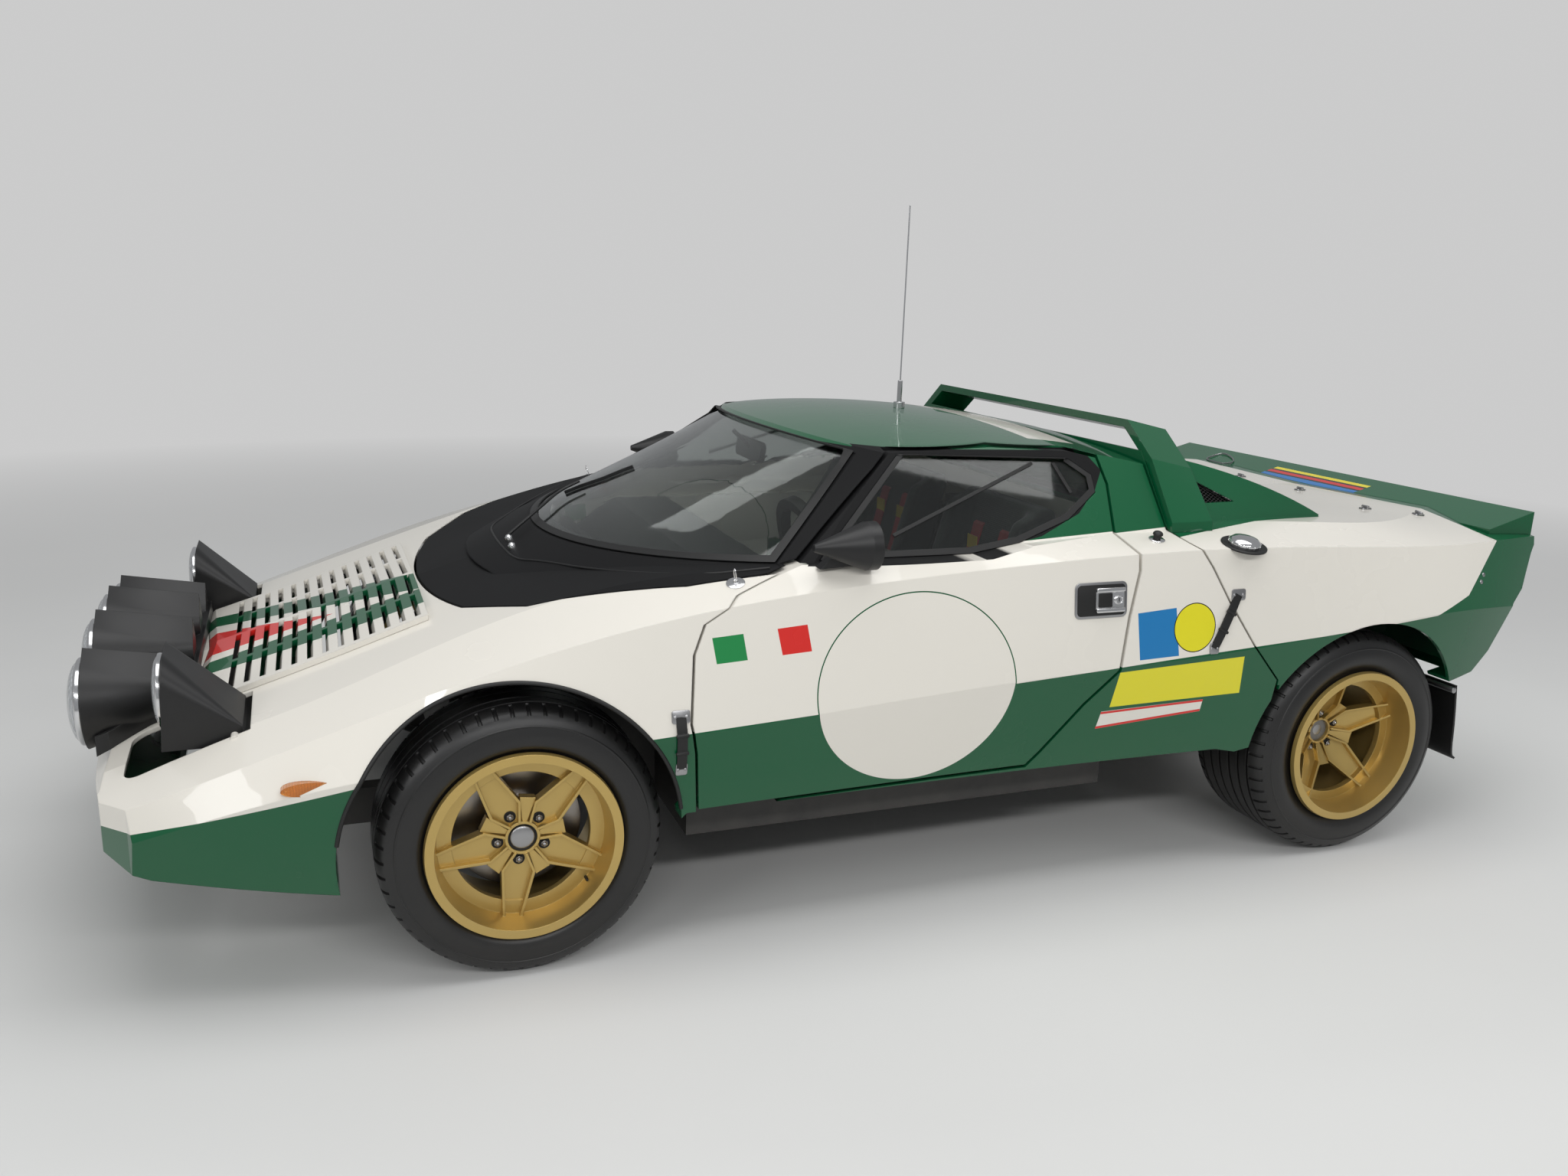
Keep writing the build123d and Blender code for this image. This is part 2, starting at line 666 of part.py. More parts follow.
def hood_slots():
    """Every slot of the right-hand half, in one shape."""
    lean = HOOD_SLOT_DEPTH * HOOD_SLOT_LEAN
    with BuildPart() as slots:
        for y_low, y_high in HOOD_SLOT_Y:
            with BuildSketch(Plane.XZ.offset(-y_high)):
                for row in range(HOOD_SLOT_ROWS):
                    s = HOOD_SLOT_FIRST[0] + row * HOOD_SLOT_PITCH
                    z = HOOD_SLOT_FIRST[1] + row * HOOD_SLOT_PITCH * HOOD_SLOPE
                    Polygon(
                        (station(s - lean), z - HOOD_SLOT_DEPTH),
                        (station(s - lean + HOOD_SLOT_LENGTH), z - HOOD_SLOT_DEPTH),
                        (station(s + lean + HOOD_SLOT_LENGTH), z + HOOD_SLOT_DEPTH),
                        (station(s + lean), z + HOOD_SLOT_DEPTH),
                        align=None,
                    )
            extrude(amount=y_high - y_low)
    return slots.part


with BuildPart() as hood_louvre:
    add(side_prism(HOOD_PANEL_SIDE, -HOOD_PANEL_HALF, HOOD_PANEL_HALF))
    add(body_loft(-HOOD_PANEL_RISE), mode=Mode.INTERSECT)
    add(body_loft(-SEAT_GAP), mode=Mode.SUBTRACT)
    add(both_sides(hood_slots()), mode=Mode.SUBTRACT)
export(hood_louvre.part, "hood_louvre")

# Driving lamps: a cone under a peaked roof, and its lens in a rim
LAMPS = [
    # Y, Z of the centre
    (116, 557),
    (340, 531),
]
LAMP_MOUTH = (-848, 103, 119)  # station, radius, height of the ridge above the centre
LAMP_TAIL = (-650, 45, 77)
LAMP_TAIL_RISE = 10
LAMP_RIM_RADIUS = 95
LAMP_RIM_DEPTH = 13
LAMP_GLASS_RADIUS = 88
LAMP_BULGE = 25
# Panel under the lamps: side view as (station, z), and plan as (station, Y) from the centre out
VALANCE_SIDE = [(-900, 380), (-900, 452), (-800, 488), (-640, 556), (-640, 380)]
VALANCE_HALF = 450
VALANCE_HEIGHT = 300
VALANCE_PLAN = [(-846, 0), (-828, 426), (-802, 426), (-724, 388), (-640, 388)]


def cowl_face(y, z, spec):
    """Lamp shell section: a circle whose two tangents meet in a ridge above it."""
    distance, radius, ridge = spec
    cosine = radius / ridge
    sine = (1 - cosine ** 2) ** 0.5
    right = (y + radius * sine, z + radius * cosine)
    left = (y - radius * sine, z + radius * cosine)
    with BuildSketch(Plane.YZ.offset(station(distance))) as face:
        with BuildLine():
            ThreePointArc(right, (y, z - radius), left)
            Polyline(left, (y, z + ridge), right)
        make_face()
    return face.sketch


def lamp_cowl(y, z):
    """Lamp shell tapering backwards."""
    with BuildPart() as cowl:
        loft([cowl_face(y, z, LAMP_MOUTH), cowl_face(y, z + LAMP_TAIL_RISE, LAMP_TAIL)])
    return cowl.part


def lamp_lens(y, z, back_s, rim_radius, rim_depth, glass_radius, bulge):
    """Round rim whose glass bulges forwards."""
    ball = (glass_radius ** 2 + bulge ** 2) / (2 * bulge)
    front_s = back_s - rim_depth
    half = glass_radius / 2
    half_s = front_s - bulge + ball - (ball ** 2 - half ** 2) ** 0.5
    with BuildPart() as lens:
        with BuildSketch(Plane.XY.offset(z)):
            with BuildLine():
                ThreePointArc(
                    (station(front_s - bulge), y), (station(half_s), y + half),
                    (station(front_s), y + glass_radius),
                )
                Polyline(
                    (station(front_s), y + glass_radius), (station(front_s), y + rim_radius),
                    (station(back_s), y + rim_radius), (station(back_s), y),
                    (station(front_s - bulge), y),
                )
            make_face()
        revolve(axis=Axis((station(front_s), y, z), (1, 0, 0)))
    return lens.part


with BuildPart() as valance:
    with BuildSketch(Plane.XY.offset(VALANCE_SIDE[0][1])):
        middle, *half_plan = [(station(s), y) for s, y in VALANCE_PLAN]
        with BuildLine():
            ThreePointArc((half_plan[0][0], -half_plan[0][1]), middle, half_plan[0])
            mirrored = [(x, -y) for x, y in half_plan]
            Polyline(*half_plan, *reversed(mirrored))
        make_face()
    extrude(amount=VALANCE_HEIGHT)
    add(side_prism(VALANCE_SIDE, -VALANCE_HALF, VALANCE_HALF), mode=Mode.INTERSECT)

with BuildPart() as lamp_pod:
    add(valance.part)
    for lamp_y, lamp_z in LAMPS:
        for side in (-1, 1):
            add(lamp_cowl(side * lamp_y, lamp_z))
    add(body_loft(-SEAT_GAP), mode=Mode.SUBTRACT)
    add(outer_body, mode=Mode.SUBTRACT)
    add(hood_louvre.part, mode=Mode.SUBTRACT)
export(lamp_pod.part, "lamp_pod")

with BuildPart() as driving_lamps:
    for lamp_y, lamp_z in LAMPS:
        for side in (-1, 1):
            add(lamp_lens(
                side * lamp_y, lamp_z, LAMP_MOUTH[0], LAMP_RIM_RADIUS, LAMP_RIM_DEPTH,
                LAMP_GLASS_RADIUS, LAMP_BULGE,
            ))
export(driving_lamps.part, "driving_lamps")

# Raised headlamp boxes: round-topped in front, running back to a thin edge
HEADLAMP_Y = (424, 620)
HEADLAMP_BOTTOM_Z = 502
# station, top z, corner radius of the section
HEADLAMP_SECTIONS = [(-690, 706, 66), (-532, 544, 4)]
HEADLAMP_TRIM = [(-684, 502), (-672, 720), (-532, 720), (-532, 508), (-560, 502)]
HEADLAMP_LENS = (600, 78, 6, 72, 14)  # z, rim radius, rim depth, glass radius, bulge
HEADLAMP_FACE_S = -689


def headlamp_face(distance, top_z, corner):
    """Headlamp box section with its two upper corners rounded."""
    width = HEADLAMP_Y[1] - HEADLAMP_Y[0]
    centre = (sum(HEADLAMP_Y) / 2, (top_z + HEADLAMP_BOTTOM_Z) / 2)
    with BuildSketch(Plane.YZ.offset(station(distance))) as face:
        with Locations(centre):
            Rectangle(width, top_z - HEADLAMP_BOTTOM_Z)
        fillet(vertices().sort_by(Axis.Y)[-2:], corner)
    return face.sketch


with BuildPart() as headlamp_right:
    loft([headlamp_face(*row) for row in HEADLAMP_SECTIONS])
    add(side_prism(HEADLAMP_TRIM, 400, 640), mode=Mode.INTERSECT)
    add(
        cross_rod(*HEADLAMP_PIVOT, PIVOT_RADIUS + PIVOT_FIT, HEADLAMP_Y[0] - 1, HEADLAMP_Y[1] + 1),
        mode=Mode.SUBTRACT,
    )
with BuildPart() as headlamp_lens_right:
    lens_z, rim_radius, rim_depth, glass_radius, bulge = HEADLAMP_LENS
    add(lamp_lens(
        sum(HEADLAMP_Y) / 2, lens_z, HEADLAMP_FACE_S + 2 * rim_depth, rim_radius, 2 * rim_depth,
        glass_radius, bulge,
    ))
    add(headlamp_right.part, mode=Mode.SUBTRACT)
export_pair(headlamp_right.part, "headlamp")
export_pair(headlamp_lens_right.part, "headlamp_lens")

# Rear clam with the hump and its roof hoop
rear_limit = (
    [(CABIN_REAR_S + PANEL_GAP, ABOVE_CAR_Z)]
    + [(HUMP_FRONT_S, 892)]
    + REAR_CLAM_LINE[1:]
    + [(1900, BELOW_BODY_Z), (CAR_LENGTH, BELOW_BODY_Z), (CAR_LENGTH, ABOVE_CAR_Z)]
)
LOUVRE_HALF = 470
LOUVRE_FRONT_S = 1680
LOUVRE_REAR_S = 2160
LOUVRE_CUT_Z = (860, 1200)
BUTTRESS_VENT = [(1746, 994), (1747, 937), (1874, 936)]
BUTTRESS_VENT_Y = (600, 780)
# The clam is open below: between the wheels and the tail, and in front of the wheels
CLAM_WELL = (1600, 2620, 780, 470)
CLAM_FOOT = (1600, 1900, PLAN_SIDE_Y, 500)
HINGE_SLOT_S = (2500, 2720)
with BuildPart() as rear_inside:
    add(clam_inside)
    add(inner_hump)
with BuildPart() as rear_clam:
    add(outer_body)
    add(outer_hump)
    add(side_prism(rear_limit, -PLAN_SIDE_Y, PLAN_SIDE_Y), mode=Mode.INTERSECT)
    add(rear_inside.part, mode=Mode.SUBTRACT)
    add(arch_cuts[1], mode=Mode.SUBTRACT)
    for s_low, s_high, y_half, top_z in (CLAM_WELL, CLAM_FOOT):
        add(slab(s_low, s_high, -y_half, y_half, BELOW_BODY_Z, top_z), mode=Mode.SUBTRACT)
    add(
        slab(LOUVRE_FRONT_S, LOUVRE_REAR_S, -LOUVRE_HALF, LOUVRE_HALF, *LOUVRE_CUT_Z),
        mode=Mode.SUBTRACT,
    )
    add(both_sides(side_prism(BUTTRESS_VENT, *BUTTRESS_VENT_Y)), mode=Mode.SUBTRACT)
    hinge_s, hinge_z = REAR_HINGE
    add(both_sides(slab(hinge_s - 20, hinge_s + 44, *REAR_EAR_Y, hinge_z - 20, hinge_z + 20)))
    rear_bore = cross_rod(hinge_s, hinge_z, PIVOT_RADIUS + PIVOT_FIT, 390, 440)
    add(both_sides(rear_bore), mode=Mode.SUBTRACT)
    slot_low, slot_high = REAR_ARM_Y[0] - PANEL_GAP, REAR_ARM_Y[1] + PANEL_GAP
    rear_slot = slab(*HINGE_SLOT_S, slot_low, slot_high, BELOW_BODY_Z, hinge_z + 40)
    add(both_sides(rear_slot), mode=Mode.SUBTRACT)
export(rear_clam.part, "rear_clam")


def plan_trim():
    """Block whose plan is the tail curve of the body."""
    tail_s, tail_corner_s, tail_y = TAIL_PLAN
    with BuildPart() as block:
        with BuildSketch(Plane.XY):
            with BuildLine():
                ThreePointArc(
                    (station(tail_corner_s), tail_y),
                    (station(tail_s), 0),
                    (station(tail_corner_s), -tail_y),
                )
                Polyline(
                    (station(tail_corner_s), -tail_y), (station(WHEELBASE), -tail_y),
                    (station(WHEELBASE), tail_y), (station(tail_corner_s), tail_y),
                )
            make_face()
        extrude(amount=ABOVE_CAR_Z)
    return block.part


# Upturned tail spoiler
SPOILER_OUTLINE = [(2690, 820), (2690, 849), (2852, 893), (2903, 884), (2905, 866), (2860, 820)]
with BuildPart() as tail_spoiler:
    add(side_prism(SPOILER_OUTLINE, -TAIL_PLAN[2], TAIL_PLAN[2]))
    add(plan_trim(), mode=Mode.INTERSECT)
    add(outer_body, mode=Mode.SUBTRACT)
export(tail_spoiler.part, "tail_spoiler")

# Hoop over the rear of the roof: a slanted plate on two wide legs
HOOP_FRONT_S = 1617
HOOP_REAR_S = 1741
HOOP_DROP = 27
HOOP_FRONT_VIEW = [(742, 860), (738, 905), (632, 1050), (515, 1136)]
HOOP_THICKNESS = 21


def hoop_face(distance, drop, thickness):
    """Front view of the hoop down to its feet, shrunk by a thickness."""
    base, foot, shoulder, top = HOOP_FRONT_VIEW
    half = [
        (base[0] - thickness * 1.3, base[1]),
        (foot[0] - thickness * 1.3, foot[1]),
        (shoulder[0] - thickness * 1.1, shoulder[1] - thickness * 0.5 - drop),
        (top[0] - thickness * 0.5, top[1] - thickness - drop),
    ]
    with BuildSketch(Plane.YZ.offset(station(distance))) as face:
        with BuildLine():
            Polyline(*half, *[(-y, z) for y, z in reversed(half)], close=True)
        make_face()
    return face.sketch


def hoop_solid(thickness):
    """Filled hoop between its front and rear edges."""
    with BuildPart() as hoop:
        loft([
            hoop_face(HOOP_FRONT_S, 0, thickness),
            hoop_face(HOOP_REAR_S, HOOP_DROP, thickness),
        ])
    return hoop.part


with BuildPart() as roof_hoop:
    add(hoop_solid(0))
    add(hoop_solid(HOOP_THICKNESS), mode=Mode.SUBTRACT)
    add(outer_hump, mode=Mode.SUBTRACT)
    add(outer_body, mode=Mode.SUBTRACT)
export(roof_hoop.part, "roof_hoop")

# Louvred cover between the buttresses
SLAT_COUNT = 7
SLAT_LENGTH = 92
SLAT_THICKNESS = 5
SLAT_REACH = 0.8 * SLAT_LENGTH
SLAT_DROP = 10
SLAT_LINE = (1700, 1042, -0.30, -0.00009)  # station, height there, slope and curve
LOUVRE_RAIL_WIDTH = 12
LOUVRE_RAIL = [(1683, 1048), (1930, 982), (2157, 898), (2157, 850), (1930, 938), (1683, 1010)]
slat_pitch = (LOUVRE_REAR_S - LOUVRE_FRONT_S - 30) / SLAT_COUNT
with BuildPart() as rear_louvre:
    for index in range(SLAT_COUNT):
        slat_s = LOUVRE_FRONT_S + 10 + index * slat_pitch
        run = slat_s - SLAT_LINE[0]
        slat_z = SLAT_LINE[1] + SLAT_LINE[2] * run + SLAT_LINE[3] * run ** 2
        outline = [
            (slat_s, slat_z), (slat_s + SLAT_REACH, slat_z - SLAT_DROP),
            (slat_s + SLAT_REACH, slat_z - SLAT_DROP - SLAT_THICKNESS),
            (slat_s, slat_z - SLAT_THICKNESS),
        ]
        slat_half = LOUVRE_HALF - LOUVRE_RAIL_WIDTH
        add(side_prism(outline, -slat_half, slat_half))
    add(both_sides(side_prism(LOUVRE_RAIL, LOUVRE_HALF - LOUVRE_RAIL_WIDTH, LOUVRE_HALF)))
export(rear_louvre.part, "rear_louvre")

# Tail lamps
TAIL_LAMP = (560, 752, 62)  # Y, z and radius
TAIL_LAMP_S = (2720, 2846)
with BuildPart() as tail_lamps:
    for side in (-1, 1):
        with BuildSketch(Plane.YZ.offset(station(TAIL_LAMP_S[0]))):
            with Locations((side * TAIL_LAMP[0], TAIL_LAMP[1])):
                Circle(TAIL_LAMP[2])
        extrude(amount=TAIL_LAMP_S[1] - TAIL_LAMP_S[0])
    add(outer_body, mode=Mode.SUBTRACT)
export(tail_lamps.part, "tail_lamps")

# Front indicators
INDICATOR_PLACE = (-414, 477)
INDICATOR_HALF = (50, 14)
INDICATOR_Y = (800, 834)
with BuildPart() as front_indicators:
    for side in (-1, 1):
        with BuildSketch(Plane.XZ.offset(side * INDICATOR_Y[0])):
            with Locations((station(INDICATOR_PLACE[0]), INDICATOR_PLACE[1])):
                Ellipse(*INDICATOR_HALF)
        extrude(amount=side * (INDICATOR_Y[1] - INDICATOR_Y[0]))
    add(outer_body, mode=Mode.SUBTRACT)
export(front_indicators.part, "front_indicators")

# Aerial, as steps of (bottom z, top z, radius)
AERIAL_S = 1211
AERIAL_STEPS = [(1100, 1130, 16), (1130, 1190, 7), (1190, 1668, 2)]
with BuildPart() as roof_aerial:
    for low_z, high_z, step_radius in AERIAL_STEPS:
        with BuildSketch(Plane.XY.offset(low_z)):
            with Locations((station(AERIAL_S), 0)):
                Circle(step_radius)
        extrude(amount=high_z - low_z)
    add(outer_cabin, mode=Mode.SUBTRACT)
export(roof_aerial.part, "roof_aerial")

# Frames, with a towing eye at each end
FRONT_EYE = (-656, 242)
REAR_EYE = (2512, 262)
EYE_Y = (190, 202)
REAR_EYE_Y = (350, 362)
EYE_RADIUS = 12
RAIL_Y = (380, 425)
ARM_Z = (222, 240)
UPPER_ARM_Z = (372, 390)
# Cross beam at each end, and the post that carries the upper arms: stations and top z
FRONT_BEAM = (-640, -600, 342)
FRONT_RAIL_TOP_Z = 300
FRONT_POST = (-180, 420)
EYE_HALF = 20
with BuildPart() as front_frame:
    beam_s, beam_rear_s, beam_top_z = FRONT_BEAM
    add(both_sides(slab(beam_s, FOOTWELL_FRONT_S, *RAIL_Y, TUB_FLOOR_Z, FRONT_RAIL_TOP_Z)))
    add(both_sides(slab(FRONT_POST[0], FOOTWELL_FRONT_S, *RAIL_Y, TUB_FLOOR_Z, FRONT_POST[1])))
    add(slab(beam_s, beam_rear_s, -RAIL_Y[1], RAIL_Y[1], TUB_FLOOR_Z, beam_top_z))
    hinge_s, hinge_z = FRONT_HINGE
    add(both_sides(slab(hinge_s - 14, beam_s + 20, *HINGE_ARM_Y, hinge_z - 12, hinge_z + 12)))
    add(both_sides(cross_rod(hinge_s, hinge_z, PIVOT_RADIUS, *HINGE_PIN_Y)))
    eye_s, eye_z = FRONT_EYE
    add(slab(eye_s - EYE_HALF, beam_s, *EYE_Y, eye_z - EYE_HALF, eye_z + EYE_HALF))
    add(cross_rod(eye_s, eye_z, EYE_RADIUS, EYE_Y[0] - 1, EYE_Y[1] + 1), mode=Mode.SUBTRACT)
export(front_frame.part, "front_frame")

REAR_RAIL_Y = (400, 440)
REAR_BEAM = (2400, 2440, 330)
REAR_RAIL_TOP_Z = 275
# Towers over the rear arms: stations and heights of the blocks that form each one
TOWER_BLOCKS = [
    (2110, 2140, TUB_FLOOR_Z, 680),
    (2220, 2280, TUB_FLOOR_Z, 680),
    (2110, 2280, 350, 680),
]
DAMPER_TOP = (2200, 2280, 556, 660, 680)
with BuildPart() as rear_frame:
    beam_s, beam_rear_s, beam_top_z = REAR_BEAM
    rail_front_s = REAR_BULKHEAD_S + PLATE
    add(both_sides(slab(rail_front_s, beam_rear_s, *REAR_RAIL_Y, TUB_FLOOR_Z, REAR_RAIL_TOP_Z)))
    add(slab(beam_s, beam_rear_s, -REAR_RAIL_Y[1], REAR_RAIL_Y[1], TUB_FLOOR_Z, beam_top_z))
    for s_low, s_high, z_low, z_high in TOWER_BLOCKS:
        add(both_sides(slab(s_low, s_high, *REAR_RAIL_Y, z_low, z_high)))
    s_low, s_high, outer_y, z_low, z_high = DAMPER_TOP
    add(both_sides(slab(s_low, s_high, REAR_RAIL_Y[0], outer_y, z_low, z_high)))
    hinge_s, hinge_z = REAR_HINGE
    arm = [
        (beam_s, beam_top_z - 30), (beam_rear_s, beam_top_z - 30), (hinge_s + 12, hinge_z - 14),
        (hinge_s + 12, hinge_z + 14), (hinge_s - 16, hinge_z + 14),
    ]
    add(both_sides(side_prism(arm, *REAR_ARM_Y)))
    add(both_sides(cross_rod(hinge_s, hinge_z, PIVOT_RADIUS, *REAR_PIN_Y)))
    eye_s, eye_z = REAR_EYE
    add(slab(beam_rear_s, eye_s + EYE_HALF, *REAR_EYE_Y, eye_z - EYE_HALF, eye_z + EYE_HALF))
    add(cross_rod(eye_s, eye_z, EYE_RADIUS, REAR_EYE_Y[0] - 1, REAR_EYE_Y[1] + 1), mode=Mode.SUBTRACT)
export(rear_frame.part, "rear_frame")


def wishbone(centre_s, inner_y, outer_y, spread, z_low, z_high):
    """Flat triangular arm with an open middle."""
    half = 26
    with BuildPart() as arm:
        with BuildSketch(Plane.XY.offset(z_low)):
            with BuildLine():
                Polyline(
                    (station(centre_s - half), outer_y), (station(centre_s + half), outer_y),
                    (station(centre_s + spread), inner_y), (station(centre_s - spread), inner_y),
                    close=True,
                )
            make_face()
            with BuildLine():
                Polyline(
                    (station(centre_s), outer_y - 62), (station(centre_s + spread - 46), inner_y + 1),
                    (station(centre_s - spread + 46), inner_y + 1), close=True,
                )
            make_face(mode=Mode.SUBTRACT)
        extrude(amount=z_high - z_low)
    return arm.part


REAR_DAMPER_S = WHEELBASE + 62
REAR_ARM_OUTER_Y = 618
FRONT_ARM_SPREAD = 130
REAR_ARM_SPREAD = 150
# Seat of each damper on its arm: front and rear station, inner and outer Y
FRONT_DAMPER_SEAT = (-40, 40, 480, 560)
REAR_DAMPER_SEAT = (WHEELBASE - 100, REAR_DAMPER_S + 40, 470, 548)
with BuildPart() as front_lower_arms:
    add(both_sides(wishbone(0, RAIL_Y[1], KINGPIN_Y + 24, FRONT_ARM_SPREAD, *ARM_Z)))
    add(both_sides(slab(*FRONT_DAMPER_SEAT, *ARM_Z)))
export(front_lower_arms.part, "front_lower_arms")
with BuildPart() as front_upper_arms:
    add(both_sides(wishbone(0, RAIL_Y[1], KINGPIN_Y + 24, FRONT_ARM_SPREAD, *UPPER_ARM_Z)))
export(front_upper_arms.part, "front_upper_arms")
with BuildPart() as rear_arms:
    add(both_sides(
        wishbone(WHEELBASE, REAR_RAIL_Y[1], REAR_ARM_OUTER_Y, REAR_ARM_SPREAD, *ARM_Z)
    ))
    add(both_sides(slab(*REAR_DAMPER_SEAT, *ARM_Z)))
export(rear_arms.part, "rear_arms")


def dampers(distance, centre_y, radius, top_z):
    """Upright struts on both lower arms."""
    with BuildPart() as struts:
        for side in (-1, 1):
            with BuildSketch(Plane.XY.offset(ARM_Z[1])):
                with Locations((station(distance), side * centre_y)):
                    Circle(radius)
            extrude(amount=top_z - ARM_Z[1])
    return struts.part


FRONT_DAMPER = (0, 515, 34, 560)  # station, Y, radius, top z
REAR_DAMPER = (REAR_DAMPER_S, 510, 36, DAMPER_TOP[3])
DAMPER_BRACKET = (-40, 40, FOOTWELL_HALF, 555, 560, 575)
with BuildPart() as front_dampers:
    add(dampers(*FRONT_DAMPER))
    add(both_sides(slab(*DAMPER_BRACKET)))
export(front_dampers.part, "front_dampers")
with BuildPart() as rear_dampers:
    add(dampers(*REAR_DAMPER))
export(rear_dampers.part, "rear_dampers")

# Engine with gearbox, and drive shafts
ENGINE_BLOCKS = [
    # front and rear station, half width, bottom and top z
    (1560, 2010, 330, 290, 800),
    (1960, 2300, 200, TUB_FLOOR_Z, 480),
    (1560, 1640, REAR_RAIL_Y[0], 245, 290),
]
SHAFT_RADIUS = 18
SHAFT_Y = (200, 570)
with BuildPart() as engine_block:
    for s_low, s_high, y_half, z_low, z_high in ENGINE_BLOCKS:
        add(slab(s_low, s_high, -y_half, y_half, z_low, z_high))
export(engine_block.part, "engine_block")
with BuildPart() as drive_shafts:
    add(both_sides(cross_rod(WHEELBASE, REAR_TYRE_RADIUS, SHAFT_RADIUS, *SHAFT_Y)))
export(drive_shafts.part, "drive_shafts")

# Radiator in the nose with its two feet, and the silencer with four tail pipes
RADIATOR_S = (-600, -550)
RADIATOR_HALF = 300
RADIATOR_Z = (300, 480)
RADIATOR_FOOT_Z = 330
with BuildPart() as radiator:
    add(slab(*RADIATOR_S, -RADIATOR_HALF, RADIATOR_HALF, *RADIATOR_Z))
    add(both_sides(
        slab(*RADIATOR_S, RADIATOR_HALF, RAIL_Y[0] + 20, RADIATOR_Z[0], RADIATOR_FOOT_Z)
    ))
export(radiator.part, "radiator")
SILENCER = (2440, 2600, -300, 300, 236, 372)
PIPE_Y = (-250, -185, 185, 250)
PIPE_Z = 296
PIPE_RADII = (26, 22)
PIPE_LENGTH = 120
with BuildPart() as exhaust:
    add(slab(*SILENCER))
    for pipe_y in PIPE_Y:
        with BuildSketch(Plane.YZ.offset(station(SILENCER[1]))):
            with Locations((pipe_y, PIPE_Z)):
                Circle(PIPE_RADII[0])
                Circle(PIPE_RADII[1], mode=Mode.SUBTRACT)
        extrude(amount=PIPE_LENGTH)
export(exhaust.part, "exhaust")

# Knuckles and rear hub carriers: inner and outer Y and half length of each upright
UPRIGHT = (612, 668, 45)
STEERING_ARM = (130, 16, 262, 284)  # end station, width, bottom and top z
CARRIER_TOP_Z = 380
PIN_RADIUS = 17
PIN_SHOW = 14
REAR_UPRIGHT = (570, 618, 45)
DISC_Y = (690, 640)
WHEELS = [
    # name, station, radius, tyre width, lip y, tyre centre y, dish, disc y
    ("front", 0, FRONT_TYRE_RADIUS, FRONT_TYRE_WIDTH, FRONT_LIP_Y, 725, FRONT_DISH, DISC_Y[0]),
    ("rear", WHEELBASE, REAR_TYRE_RADIUS, REAR_TYRE_WIDTH, REAR_LIP_Y, 727, REAR_DISH, DISC_Y[1]),
]
# Half of the tyre's section: distance inwards from its side, and below its overall radius
TYRE_SHOULDER = [(0, 66), (4, 34), (22, 8), (52, 0)]
TYRE_BEAD_INSET = 16
DISC_HAT_RADIUS = 68
# Shelf of each rim: depth below the lip, inner radius, and the angle of the first spoke
SHELVES = {"front": (60, 146, -98), "rear": (70, 152, 23)}
with BuildPart() as knuckle_right:
    inner_y, outer_y, half = UPRIGHT
    add(slab(-half, half, inner_y, outer_y, ARM_Z[1] + PIN_SHOW, UPPER_ARM_Z[0] - PIN_SHOW))
    with BuildSketch(Plane.XY.offset(ARM_Z[1] + SEAT_GAP)):
        with Locations((station(0), KINGPIN_Y)):
            Circle(PIN_RADIUS)
    extrude(amount=UPPER_ARM_Z[0] - ARM_Z[1] - 2 * SEAT_GAP)
    arm_s, arm_width, arm_low_z, arm_high_z = STEERING_ARM
    add(slab(half - 1, arm_s, inner_y, inner_y + arm_width, arm_low_z, arm_high_z))
    add(cross_rod(0, FRONT_TYRE_RADIUS, STUB_RADIUS, outer_y - 1, FRONT_LIP_Y - FRONT_DISH))
export_pair(knuckle_right.part, "knuckle")
with BuildPart() as rear_carriers:
    inner_y, outer_y, half = REAR_UPRIGHT
    add(slab(WHEELBASE - half, WHEELBASE + half, inner_y, outer_y, ARM_Z[1], CARRIER_TOP_Z))
    add(cross_rod(WHEELBASE, REAR_TYRE_RADIUS, STUB_RADIUS, outer_y - 1, REAR_LIP_Y - REAR_DISH))
    mirror(about=Plane.XZ)
export(rear_carriers.part, "rear_carriers")


def ring_profile(points, axle_s, axle_z):
    """Solid of revolution about a wheel axis from (y, radius) points."""
    with BuildPart() as ring:
        with BuildSketch(Plane.YZ.offset(station(axle_s))):
            with BuildLine():
                Polyline(*[(y, axle_z + r) for y, r in points], close=True)
            make_face()
        revolve(axis=Axis((station(axle_s), 0, axle_z), (0, 1, 0)))
    return ring.part


def polar_prism(name, axle_s, axle_z, outlines, turn):
    """Outlines of (along, half width) pairs repeated round a wheel, through the whole wheel."""
    plane = Plane(
        origin=(station(axle_s), PLAN_SIDE_Y, axle_z), x_dir=(1, 0, 0), z_dir=(0, -1, 0),
    )
    add_outline, *cut_outlines = outlines
    with BuildPart() as prism:
        with BuildSketch(plane):
            with PolarLocations(0, SPOKE_COUNT, start_angle=SHELVES[name][2] + turn):
                Polygon(*add_outline, *[(r, -half) for r, half in reversed(add_outline)], align=None)
            for outline in cut_outlines:
                with PolarLocations(0, SPOKE_COUNT, start_angle=SHELVES[name][2] + turn):
                    Polygon(
                        *outline, *[(r, -half) for r, half in reversed(outline)],
                        align=None, mode=Mode.SUBTRACT,
                    )
        extrude(amount=PLAN_SIDE_Y - RIM_BACK_Y)
    return prism.part


def dished_ring(axle_s, axle_z, hub_y, shelf_y, low, high):
    """Ring that leads from the hub plane to the shelf plane, between two heights above them."""
    inner, outer = SPOKE_KITE[0][0] - 2, SPOKE_KITE[-1][0]
    return ring_profile([
        (hub_y + low, inner), (hub_y + high, inner), (shelf_y + high, outer), (shelf_y + low, outer),
    ], axle_s, axle_z)


